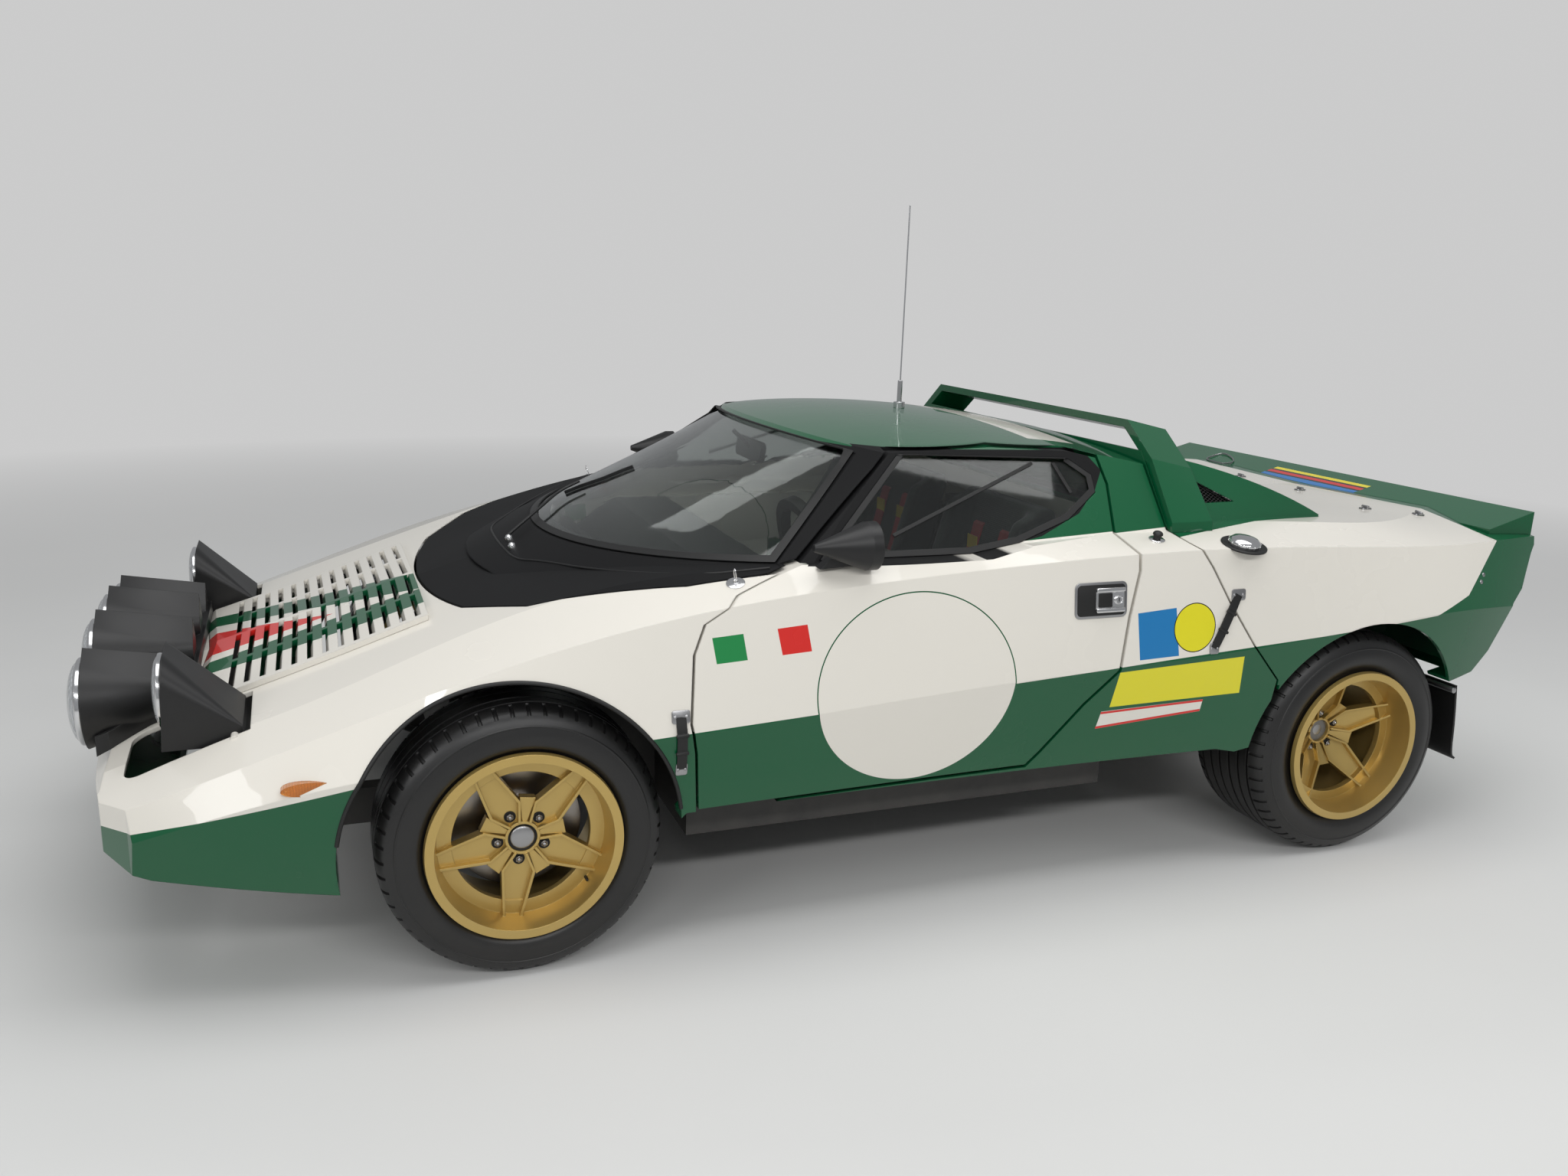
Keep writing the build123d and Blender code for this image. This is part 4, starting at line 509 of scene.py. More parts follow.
def paint_doors(name):
    """White above the crease and green below, with the blank number disc and two squares."""
    white, green = colours().body_white, colours().body_green
    paint = Paint(name, white)
    paint.cover(paint.lower_body(), green)
    for grow, colour in ((3.0, green), (0.0, white)):
        paint.cover(paint.oval(*DOOR_DISC, grow), colour)
    for corners, colour in zip(DOOR_SQUARES, (SQUARE_GREEN, colours().stripe_red)):
        paint.cover(paint.polygon(corners), colour)
    above_belt = paint.all_of(paint.side_line(*BELT_LINE), paint.within(inside=768))
    paint.cover(above_belt, green)
    corner = paint.all_of(above_belt, paint.within(before=800))
    surround = paint.any_of(paint.polygon(WINDOW_BLACK), corner)
    paint.cover(surround, colours().satin_black)
    return paint.finished(surround)


def paint_cabin(name):
    """Green roof and pillars, white quarters with labels, matt black cowl and screen frame."""
    white, green = colours().body_white, colours().body_green
    paint = Paint(name, white)
    paint.cover(paint.any_of(paint.lower_body(), paint.side_line(*QUARTER_LINE)), green)
    paint.cover(paint.within(behind=1350, before=1490, inside=470, over=1040), white)
    paint.cover(paint.polygon(LABEL_SQUARE), LABEL_BLUE)
    for grow, colour in ((2.5, LABEL_EDGE), (0.0, LABEL_YELLOW)):
        paint.cover(paint.oval(*LABEL_DISC, grow), colour)
    paint.cover(paint.polygon(LABEL_PANEL), LABEL_YELLOW)
    paint.cover(paint.polygon(LABEL_STRIP), white)
    for corners in LABEL_LINES:
        paint.cover(paint.polygon(corners), colours().stripe_red)
    cowl = paint.all_of(paint.side_line(*COWL_LINE), paint.within(before=652))
    pillar = paint.all_of(paint.side_line(*PILLAR_LINE), paint.within(over=826, under=1074))
    foot = paint.within(before=900, over=832, under=1000)
    black_parts = paint.any_of(cowl, pillar, foot, paint.polygon(WINDOW_BLACK))
    paint.cover(black_parts, colours().satin_black)
    return paint.finished(black_parts)


def paint_rear_clam(name):
    """White, with a green tail and green humps beside the buttresses."""
    paint = Paint(name, colours().body_white)
    hump = paint.all_of(paint.beyond(at(1616, 767, 0), (-145, -584, 0)),
                        paint.within(before=2200, over=862))
    paint.cover(paint.any_of(paint.lower_body(), paint.below(TAIL_LINES), hump),
                colours().body_green)
    return paint.finished()


def paint_spoiler(name):
    """Green with a short block of stripes across its middle."""
    paint = Paint(name, colours().body_green)
    for start, end, colour in STRIPES:
        paint.cover(paint.within(behind=start, before=end, inside=STRIPE_REACH), colour)
    return paint.finished()


def paint_green(name):
    return Paint(name, colours().body_green).finished()


PLAIN_FINISHES = {  # colour or its property, roughness, grain scale and depth, then metallic,
    # coat, dust and wear
    "satin_black": ("satin_black", 0.44, 520.0, 0.00025, 0.0, 0.0, 0.03, 0.06),
    "chassis_black": ((0.018, 0.018, 0.019), 0.6, 260.0, 0.0004, 0.0, 0.0, 0.25, 0.12),
    "cast_metal": ((0.26, 0.26, 0.26), 0.55, 180.0, 0.0006, 0.7, 0.0, 0.4),
    "exhaust_steel": ((0.34, 0.31, 0.28), 0.38, 90.0, 0.0003, 1.0, 0.0, 0.5),
    "wheel_gold": ("wheel_gold", 0.34, 700.0, 0.00012, 0.72, 0.25, 0.16, 0.05),
    "tyre_rubber": ((0.008, 0.008, 0.0085), 0.4, 340.0, 0.0003, 0.0, 0.0, 0.05),
    "disc_steel": ((0.36, 0.34, 0.32), 0.3, 60.0, 0.0002, 1.0, 0.0, 0.3),
    "dial_white": ((0.30, 0.30, 0.29), 0.3, 500.0, 0.0001),
    "spring_red": ((0.35, 0.03, 0.02), 0.4, 300.0, 0.0002, 0.0, 0.0, 0.5),
    "dash_black": ((0.018, 0.018, 0.018), 0.7, 600.0, 0.0005),
    "rim_leather": ((0.015, 0.014, 0.013), 0.5, 420.0, 0.0007),
    "bright_chrome": ((0.78, 0.78, 0.79), 0.14, 50.0, 0.00005, 1.0),
    "dull_steel": ((0.42, 0.42, 0.43), 0.32, 200.0, 0.0002, 1.0, 0.0, 0.2),
    "seal_rubber": ((0.006, 0.006, 0.006), 0.5, 300.0, 0.0004),
    "mirror_glass": ((0.82, 0.84, 0.86), 0.09, 8.0, 0.00002, 1.0),
}
PAINTS = (paint_front_clam, paint_doors, paint_hood, paint_cabin, paint_rear_clam, paint_spoiler,
          paint_green)
OTHER_FINISHES = {  # maker and what it is given
    **{paint.__name__: (paint,) for paint in PAINTS},
    "window_glass": (glass_finish,),
    "lamp_glass": (lens_finish, (0.93, 0.95, 0.97), 30.0),
    "amber_lens": (lens_finish, (0.95, 0.36, 0.01), 60.0, "X"),
    "red_lens": (lens_finish, (0.60, 0.01, 0.01), 45.0, "Z"),
    "seat_cloth": (woven_finish, (0.018, 0.018, 0.02), 260.0),
    "harness_web": (woven_finish, "harness_red", 420.0),
    "harness_yellow": (woven_finish, (0.80, 0.55, 0.02), 420.0),
}
FINISHES = {}


def finish_of(name):
    """A finished material by name, made when it is first asked for."""
    if name not in FINISHES:
        maker, *given = OTHER_FINISHES.get(name) or (plain_finish, *PLAIN_FINISHES[name])
        if given and isinstance(given[0], str):
            given[0] = getattr(colours(), given[0])
        FINISHES[name] = maker(name, *given)
    return FINISHES[name]


def both(name):
    return [name + "_" + side for side in SIDES]


NODE_FINISHES = {
    "paint_front_clam": ["front_clam"],
    "paint_doors": both("door"),
    "paint_hood": ["hood_louvre"],
    "paint_cabin": ["cabin_shell"],
    "paint_rear_clam": ["rear_clam"],
    "paint_spoiler": ["tail_spoiler"],
    "paint_green": ["roof_hoop"],
    "satin_black": [*both("headlamp"), "lamp_pod", *both("door_mirror"), "rear_louvre",
                    "front_liners"],
    "window_glass": ["windscreen", "rear_window", *both("door_glass")],
    "lamp_glass": ["driving_lamps", *both("headlamp_lens")],
    "amber_lens": ["front_indicators"],
    "red_lens": ["tail_lamps"],
    "chassis_black": ["floor_tub", "front_frame", "rear_frame", "front_lower_arms",
                      "front_upper_arms", "rear_arms", "front_dampers", "rear_dampers",
                      "radiator", "drive_shafts"],
    "cast_metal": ["engine_block", *both("knuckle"), "rear_carriers"],
    "exhaust_steel": ["exhaust"],
    "wheel_gold": ["rim_" + w for w in WHEELS],
    "tyre_rubber": ["tyre_" + w for w in WHEELS],
    "disc_steel": ["disc_" + w for w in WHEELS],
    "seat_cloth": both("seat"),
    "dash_black": ["dashboard", "steering_column"],
    "rim_leather": ["steering_wheel"],
    "bright_chrome": ["roof_aerial"],
}


# Mesh helpers


def new_piece(bm, name, finish, body="chassis", replaces=(), smooth=35.0):
    """Turn a bmesh into a finished piece that rides on a body."""
    bmesh.ops.remove_doubles(bm, verts=bm.verts[:], dist=0.00001)
    bmesh.ops.recalc_face_normals(bm, faces=bm.faces[:])
    mesh = bpy.data.meshes.new(name)
    bm.to_mesh(mesh)
    bm.free()
    mesh.polygons.foreach_set("use_smooth", [True] * len(mesh.polygons))
    mesh.set_sharp_from_angle(angle=math.radians(smooth))
    piece = bpy.data.objects.new(name, mesh)
    bpy.context.scene.collection.objects.link(piece)
    piece.data.materials.append(finish_of(finish))
    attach(piece, body)
    if replaces:
        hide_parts(*replaces)
    return piece


def verts_of(geometry):
    return [g for g in geometry if isinstance(g, bmesh.types.BMVert)]


def round_off(bm, edges, bevel, segments=2):
    bmesh.ops.bevel(bm, geom=list(edges), offset=bevel, offset_type="OFFSET", segments=segments,
                    profile=0.5, affect="EDGES", material=-1)


def inset(bm, faces, **depths):
    return bmesh.ops.inset_region(bm, faces=faces, use_boundary=True, use_even_offset=True,
                                  **depths)["faces"]


def evaluated_mesh(thing):
    """Mesh that a curve or a modified object gives; the object goes."""
    bpy.context.view_layer.update()
    graph = bpy.context.evaluated_depsgraph_get()
    mesh = bpy.data.meshes.new_from_object(thing.evaluated_get(graph))
    bpy.data.objects.remove(thing)
    return mesh


def take_in(bm, mesh):
    """Add a mesh to a bmesh and remove it."""
    bm.from_mesh(mesh)
    bpy.data.meshes.remove(mesh)


def add_rod(bm, start, end, radius, radius_end=None, segments=24, bevel=0.0):
    """Round bar or cone between two points."""
    run = end - start
    turn = UP.rotation_difference(run).to_matrix().to_4x4()
    made = bmesh.ops.create_cone(
        bm, cap_ends=True, cap_tris=False, segments=segments, radius1=radius,
        radius2=radius if radius_end is None else radius_end, depth=run.length,
        matrix=Matrix.Translation((start + end) / 2) @ turn)
    if bevel:
        faces = {f for v in made["verts"] for f in v.link_faces if len(f.verts) > 4}
        round_off(bm, {e for f in faces for e in f.edges}, bevel)


def add_spun(bm, profile, centre, axis, steps=64, closed=True):
    """Turn a profile of (along, radius) pairs about an axis through centre."""
    axis = Vector(axis).normalized()
    out = axis.orthogonal().normalized()
    verts = [bm.verts.new(centre + axis * a + out * r) for a, r in profile]
    pairs = zip(verts, verts[1:] + verts[:1] if closed else verts[1:])
    edges = [bm.edges.new(pair) for pair in pairs]
    bmesh.ops.spin(bm, geom=verts + edges, cent=centre, axis=axis, dvec=(0, 0, 0),
                   angle=math.tau, steps=steps, use_merge=True, use_duplicate=False)
    bmesh.ops.remove_doubles(bm, verts=bm.verts[:], dist=0.000005)


def add_tube(bm, points, radius, smooth_curve=False):
    """Add a round bar that follows points."""
    curve = bpy.data.curves.new("bar_path", "CURVE")
    curve.dimensions = "3D"
    curve.resolution_u = 6
    spline = curve.splines.new("NURBS" if smooth_curve else "POLY")
    spline.points.add(len(points) - 1)
    for target, point in zip(spline.points, points):
        target.co = (*point, 1.0)
    if smooth_curve:
        spline.order_u = 3
        spline.use_endpoint_u = True
    curve.bevel_depth = radius
    curve.bevel_resolution = 3
    curve.use_fill_caps = True
    carrier = bpy.data.objects.new("bar_carrier", curve)
    bpy.context.scene.collection.objects.link(carrier)
    take_in(bm, evaluated_mesh(carrier))
    bpy.data.curves.remove(curve)


def touch(nodes, origin, direction):
    """Place and outward normal where a ray first meets a part, or one of several."""
    names = (nodes,) if isinstance(nodes, str) else nodes
    direction = Vector(direction)
    targets = [frame["nodes"].get(name) or bpy.data.objects[name] for name in names]
    hits = [target.ray_cast(origin, direction) for target in targets]
    met = [(place, normal) for hit, place, normal, _ in hits if hit]
    if not met:
        raise RuntimeError("a ray misses " + " and ".join(names))
    place, normal = min(met, key=lambda pair: (pair[0] - origin).length)
    return place, -normal if normal.dot(direction) > 0 else normal


def on_side(node, distance, z, side):
    """Place on a flank seen from its own side, from a station and a height."""
    return touch(node, at(distance, side * 1300, z), (0, -side, 0))


def on_top(node, distance, y):
    return touch(node, at(distance, y, 1500), DOWN)


def above(node, points, lift):
    """Points raised by a height over the places that lie under (station, y) pairs."""
    hits = [on_top(node, s, y) for s, y in points]
    return [place + normal * lift for place, normal in hits]


def seat(place, normal, along):
    """Matrix whose origin is place, Z the normal, and X the direction along, laid flat."""
    normal = Vector(normal).normalized()
    along = Vector(along)
    flat = (along - normal * along.dot(normal)).normalized()
    turn = Matrix((flat, normal.cross(flat), normal)).transposed()
    return Matrix.Translation(place) @ turn.to_4x4()


def rounded_outline(length, width, radius, steps=5):
    """Outline of a rectangle with round corners, centred on the origin."""
    points = []
    for corner, (sx, sy) in enumerate(((1, 1), (-1, 1), (-1, -1), (1, -1))):
        for step in range(steps + 1):
            angle = math.radians(90) * (corner + step / steps)
            points.append((sx * (length / 2 - radius) + radius * math.cos(angle),
                           sy * (width / 2 - radius) + radius * math.sin(angle)))
    return points


def add_plate(bm, matrix, outline, low, high, bevel=0.0, segments=2):
    """Flat plate, its (length, width, corner radius) between two heights of a matrix."""
    floor = [bm.verts.new(matrix @ Vector((x, y, low))) for x, y in rounded_outline(*outline)]
    base = bm.faces.new(floor)
    made = bmesh.ops.extrude_face_region(bm, geom=[base], use_keep_orig=True)["geom"]
    top = verts_of(made)
    bmesh.ops.translate(bm, verts=top, vec=matrix.to_3x3() @ Vector((0, 0, high - low)))
    if bevel:
        edges = {e for v in top for e in v.link_edges}
        round_off(bm, [e for e in edges if all(v in top for v in e.verts)], bevel, segments)


def add_dome(bm, place, normal, radius, height, base=0.0, steps=32):
    """Round head that stands on a surface: a short wall and a crown."""
    crown = [(base + height * math.sin(math.radians(a)), radius * math.cos(math.radians(a)))
             for a in range(0, 91, 15)]
    add_spun(bm, [(-0.001, radius), *crown[:-1], (base + height, 0.0), (-0.001, 0.0)],
             place, normal, steps)


def add_strip(bm, points, across, thickness):
    """Flat strap: a path made as wide as the vector across, centred on the path."""
    across = Vector(across)
    verts = [bm.verts.new(p - across / 2) for p in points]
    edges = [bm.edges.new(pair) for pair in zip(verts, verts[1:])]
    made = bmesh.ops.extrude_edge_only(bm, edges=edges)["geom"]
    bmesh.ops.translate(bm, verts=verts_of(made), vec=across)
    faces = [g for g in made if isinstance(g, bmesh.types.BMFace)]
    bmesh.ops.recalc_face_normals(bm, faces=faces)
    bmesh.ops.solidify(bm, geom=faces, thickness=thickness)


def round_path(points, rounds=2):
    """Path with its corners cut again and again, so that it bends softly."""
    for _ in range(rounds):
        cut = [points[0]]
        for a, b in zip(points, points[1:]):
            cut += [a.lerp(b, 0.25), a.lerp(b, 0.75)]
        points = [*cut, points[-1]]
    return points


def skin(node, outward, least):
    """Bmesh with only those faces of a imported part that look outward."""
    bm = bmesh.new()
    bm.from_mesh(frame["nodes"][node].data)
    bmesh.ops.remove_doubles(bm, verts=bm.verts[:], dist=0.00002)
    outward = Vector(outward).normalized()
    inner = [f for f in bm.faces if f.normal.dot(outward) < least]
    bmesh.ops.delete(bm, geom=inner, context="FACES")
    return bm


def add_edge_strip(bm, patch, width, height, sink=0.0):
    """Rubber strip of a width along the border of a patch of faces, raised by a height."""
    kept = patch.faces[:]
    rim = inset(patch, kept, thickness=width)
    bmesh.ops.delete(patch, geom=kept, context="FACES")
    patch.normal_update()
    raised = bmesh.ops.extrude_face_region(patch, geom=rim, use_keep_orig=True)["geom"]
    lifts = {v: v.normal.copy() for v in verts_of(raised)}
    for vert in patch.verts:
        if vert in lifts:
            vert.co += lifts[vert] * height
        elif sink:
            vert.co -= vert.normal * sink
    bmesh.ops.recalc_face_normals(patch, faces=patch.faces[:])
    mesh = bpy.data.meshes.new("merged")
    patch.to_mesh(mesh)
    patch.free()
    take_in(bm, mesh)


def add_helix(bm, start, end, radius, wire, turns):
    """Coil spring round a line."""
    axis = (end - start).normalized()
    out = axis.orthogonal().normalized()
    side = axis.cross(out)
    steps = turns * 14
    points = []
    for step in range(steps + 1):
        angle = math.tau * turns * step / steps
        points.append(start.lerp(end, step / steps)
                      + (out * math.cos(angle) + side * math.sin(angle)) * radius)
    add_tube(bm, points, wire)


# Operators


class RALLY_OT_paint(bpy.types.Operator):
    """Give every carried-over part its finish"""

    bl_idname = "rally.paint"
    bl_label = "Paint the packed parts"

    def execute(self, context):
        for finish, nodes in NODE_FINISHES.items():
            for name in nodes:
                node = frame["nodes"][name]
                node.data.materials.clear()
                node.data.materials.append(finish_of(finish))
        return {"FINISHED"}


# Tyre section in millimetres, from the outer side inwards: inset from the side, then the
# radius of the bead or the drop of the wall from the tyre's radius
TYRE_BEAD = [(16, 191.5), (16, 204), (12.5, 210)]
TYRE_WALL = [(6, 84), (2, 76), (0.2, 66), (0, 58), (1.4, 48), (3.6, 38.6), (2.6, 37), (2.9, 35.4),
             (4.8, 34), (8.6, 25), (14.5, 16), (22, 9.4), (32, 4.6), (43, 1.8)]
GROOVES = {"front": (52, 84), "rear": (52, 86, 121)}
GROOVE_WIDTH = 6.5
GROOVE_LIP = 0.8
TYRES = {"front": (299, 218, 725), "rear": (305, 286, 727)}  # radius, width, centre Y
SIPE_PITCH = 4  # faces round the tyre to each tread block
SHOULDER_DEPTH = 0.020
SIPE_EDGE, SIPE_DEPTH = 0.0016, 0.0045


class RALLY_OT_tyres(bpy.types.Operator):
    """Tyres with rounded walls, a rim guard and a grooved tread"""

    bl_idname = "rally.tyres"
    bl_label = "Tyres"

    def execute(self, context):
        for wheel in WHEELS:
            end, side = wheel.split("_")
            self.tyre(wheel, SIDES[side], *TYRES[end], GROOVES[end])
        return {"FINISHED"}

    def profile(self, radius, half, grooves):
        depth = sizes().tread_depth / MM
        outer = [(half - inwards, r) for inwards, r in TYRE_BEAD]
        outer += [(half - inwards, radius - drop) for inwards, drop in TYRE_WALL]
        for inwards in grooves:
            edge = half - inwards
            outer += [(edge, radius - 0.4), (edge - GROOVE_LIP, radius - depth),
                      (edge - GROOVE_WIDTH, radius - depth),
                      (edge - GROOVE_WIDTH - GROOVE_LIP, radius)]
        return outer + [(-a, r) for a, r in reversed(outer)]

    def tyre(self, wheel, side, radius, width, centre_y, grooves):
        axle = joint_place("wheel_spin_" + wheel)
        centre = Vector((axle.x, side * centre_y * MM, axle.z))
        bm = bmesh.new()
        steps = sizes().tread_blocks * SIPE_PITCH
        profile = self.profile(radius, width / 2, grooves)
        add_spun(bm, [(a * MM, r * MM) for a, r in profile], centre, (0, 1, 0), steps)
        bmesh.ops.recalc_face_normals(bm, faces=bm.faces[:])
        first_groove = (width / 2 - grooves[0]) * MM
        sipes = []
        for face in bm.faces:
            offset = face.calc_center_median() - centre
            reach = math.hypot(offset.x, offset.z)
            turn = math.atan2(offset.z, offset.x) / math.tau * steps
            shift = SIPE_PITCH / 2 if offset.y > 0 else 0
            outside = abs(offset.y) > first_groove and radius * MM - reach < SHOULDER_DEPTH
            if outside and math.floor(turn + shift) % SIPE_PITCH == 0:
                sipes.append(face)
        inset(bm, sipes, thickness=SIPE_EDGE, depth=-SIPE_DEPTH)
        new_piece(bm, "tread_" + wheel, "tyre_rubber", "wheel_" + wheel,
                  replaces=["tyre_" + wheel], smooth=28.0)


NUT_CIRCLE = 52
NUT_FLOOR_Y = {"front": 773.2, "rear": 745.2}
HUB_PLANE_Y = {"front": 776, "rear": 738}
CAP_TOP = {"front": 0.0115, "rear": 0.001}  # over the hub plane
FIRST_SPOKE = {"front": -98, "rear": 23}
SPOKES = 5
# Black lining of each nut hole, as (along, radius): painted shade in the hole
NUT_HOLE_SHADE = [(-0.006, 0), (-0.006, 0.0125), (0.0016, 0.0125), (0.0016, 0.0108),
              (0.0004, 0.0104), (0.0004, 0)]
NUT_HEIGHT, NUT_RADIUS = 0.006, 0.0078
STUD_HEIGHT, STUD_RADIUS = 0.0045, 0.0052
# The outer radius of the black ring round the hub cap, which is painted shade in the bore
CAP_CROWN, CAP_RADIUS, CAP_SHADE_RADIUS = 0.006, 0.0262, 0.0308
VALVE_RADIUS, VALVE_TURN, VALVE_SINK, VALVE_LENGTH = 176, 58, 8, 0.026


class RALLY_OT_wheel_fittings(bpy.types.Operator):
    """Wheel nuts, hub caps and rubber valves, with black linings in the nut holes and round the hub
    cap as painted shade
    """

    bl_idname = "rally.wheel_fittings"
    bl_label = "Wheel fittings"

    def execute(self, context):
        for wheel in WHEELS:
            self.wheel(wheel, *wheel.split("_"))
        return {"FINISHED"}

    def wheel(self, wheel, end, side):
        sign = SIDES[side]
        axle = joint_place("wheel_spin_" + wheel)
        out = Vector((0, sign, 0))

        def on_wheel(radius, degrees, y):
            turn = math.radians(degrees)
            return Vector((axle.x + radius * MM * math.cos(turn), sign * y * MM,
                           axle.z + radius * MM * math.sin(turn)))

        shade_and_valves, metal = bmesh.new(), bmesh.new()
        for index in range(SPOKES):
            degrees = FIRST_SPOKE[end] + index * 360 / SPOKES
            foot = on_wheel(NUT_CIRCLE, degrees, NUT_FLOOR_Y[end])
            head = foot + out * NUT_HEIGHT
            add_spun(shade_and_valves, NUT_HOLE_SHADE, foot, out, 32)
            add_rod(metal, foot, head, NUT_RADIUS, segments=6, bevel=0.0008)
            add_dome(metal, head, out, STUD_RADIUS, STUD_HEIGHT, steps=20)
        hub = on_wheel(0, 0, HUB_PLANE_Y[end])
        top = CAP_TOP[end]
        add_dome(metal, hub, out, CAP_RADIUS, CAP_CROWN, base=top - CAP_CROWN, steps=48)
        # Black ring round the hub cap: painted shade in the bore
        add_spun(shade_and_valves, [(-0.008, 0.0), (-0.008, CAP_SHADE_RADIUS), (top - 0.007, CAP_SHADE_RADIUS),
                           (top - 0.009, CAP_RADIUS), (top - 0.009, 0)], hub, out, 48)
        stem = on_wheel(VALVE_RADIUS, FIRST_SPOKE[end] + VALVE_TURN, HUB_PLANE_Y[end] - VALVE_SINK)
        add_rod(shade_and_valves, stem, stem + out * VALVE_LENGTH, 0.0042, 0.003, 16, bevel=0.0006)
        body = "wheel_" + wheel
        # Painted shade of the nut holes and the bore, together with the real rubber valves
        new_piece(shade_and_valves, "nut_sockets_" + wheel, "seal_rubber", body)
        new_piece(metal, "wheel_nuts_" + wheel, "dull_steel", body)


DRIVING_LAMPS = ((-340, 531), (-116, 557), (116, 557), (340, 531))
HEADLAMP_PLACE = (522, 600)
LAMP_KINDS = {  # back, front and tip stations, outer and glass radii
    "driving": (-848.5, -861, -884, 95, 88),
    "head": (-677.5, -689, -702, 78, 72),
}
BOWL_STEPS = 8


class RALLY_OT_lamps(bpy.types.Operator):
    """Lamps with a bright rim, a bowl, a bulb and a fluted glass"""

    bl_idname = "rally.lamps"
    bl_label = "Lamps"

    def execute(self, context):
        self.unit("driving_lamp", "driving", DRIVING_LAMPS, "front_clam", "driving_lamps")
        y, z = HEADLAMP_PLACE
        for side, sign in SIDES.items():
            self.unit("headlamp_unit_" + side, "head", [(sign * y, z)], "headlamp_" + side,
                      "headlamp_lens_" + side)
        return {"FINISHED"}

    def unit(self, name, kind, places, body, node):
        back, front, tip, outer, clear = LAMP_KINDS[kind]
        bright, bulbs, glass = bmesh.new(), bmesh.new(), bmesh.new()
        depth, bulge = (front - back) * -MM, (front - tip) * MM
        rim, lit = outer * MM, clear * MM
        rim_profile = [
            (0, lit - 0.004), (0, rim - 0.002), (depth * 0.4, rim), (depth * 0.8, rim - 0.0006),
            (depth, rim - 0.003), (depth + 0.0012, rim - 0.0055), (depth, lit - 0.0005),
            (depth - 0.003, lit - 0.001)]
        bowl = [(depth * (0.1 + 0.8 * (r / BOWL_STEPS) ** 2),
                 lit * r / BOWL_STEPS - (0.002 if r == BOWL_STEPS else 0))
                for r in range(BOWL_STEPS + 1)]
        ring = [(depth + bulge * math.cos(math.radians(a)) - 0.0005,
                 (lit - 0.0012) * math.sin(math.radians(a))) for a in range(0, 91, 10)]
        inner = [(a - 0.0028, r * 0.985) for a, r in reversed(ring)]
        for y, z in places:
            foot = at(back, y, z)
            bulb = foot + FORWARD * (depth + bulge * 0.25)
            add_spun(bright, rim_profile, foot, FORWARD)
            add_spun(bright, [*bowl, (0.0, lit - 0.002), (0.0, 0.0)], foot, FORWARD)
            add_rod(bright, foot + FORWARD * depth * 0.1, bulb, 0.017, 0.012, bevel=0.002)
            add_dome(bulbs, bulb, FORWARD, 0.011, 0.006)
            add_spun(glass, [*ring, *inner], foot, FORWARD, closed=False)
        new_piece(bright, name + "_bowl", "bright_chrome", body, [node])
        new_piece(bulbs, name + "_bulb", "mirror_glass", body)
        new_piece(glass, name + "_glass", "lamp_glass", body)


PANE_BARS = (((868, 896), (1285, 1040)), ((1345, 1040), (1372, 972)))  # (station, z) ends


class RALLY_OT_seals(bpy.types.Operator):
    """Rubber round the windscreen, the side glass and the rear glass"""

    bl_idname = "rally.seals"
    bl_label = "Window seals"

    def execute(self, context):
        width = sizes().seal_width
        self.seal("windscreen", (-0.8, 0, 0.6), 0.45, width * 1.3, 0.005, 0.001)
        self.seal("rear_window", BACKWARD, 0.7, width, 0.004)
        for side, sign in SIDES.items():
            bm = bmesh.new()
            glass = skin("door_glass_" + side, (0, sign * 0.82, 0.57), 0.5)
            add_edge_strip(bm, glass, width, 0.0035, 0.001)
            for low, high in PANE_BARS:
                self.pane_bar(bm, "door_glass_" + side, sign, low, high)
            new_piece(bm, "window_seal_" + side, "seal_rubber", "door_" + side)
        return {"FINISHED"}

    def seal(self, node, outward, least, *strip):
        bm = bmesh.new()
        add_edge_strip(bm, skin(node, outward, least), *strip)
        new_piece(bm, node + "_seal", "seal_rubber")

    def pane_bar(self, bm, node, sign, low, high):
        """Bar of the sliding pane on a side glass."""
        points = []
        for step in range(9):
            s, z = (a + (b - a) * step / 8 for a, b in zip(low, high))
            place, normal = on_side(node, s, z, sign)
            points.append(place + normal * 0.002)
        across = normal.cross(points[-1] - points[0]).normalized() * 0.009
        add_strip(bm, points, across, 0.004)


# Lines on the cowl and the windscreen, as (station, y)
COWL_LIP = [(73, -76), (85, -212), (133, -285), (225, -451), (397, -673), (560, -722)]
SPINDLES = [(97, -52), (93, -127)]
WIPER_PATH = [(210, 60), (275, 150), (330, 150)]
WIPER_BLADE = [(290, 190), (330, 172), (385, 125), (430, 110), (460, 95)]
PIN_PLACE = (475, 740)
PIN_WASHER = [(-0.001, 0), (-0.001, 0.021), (0.002, 0.021), (0.004, 0.016), (0.004, 0)]


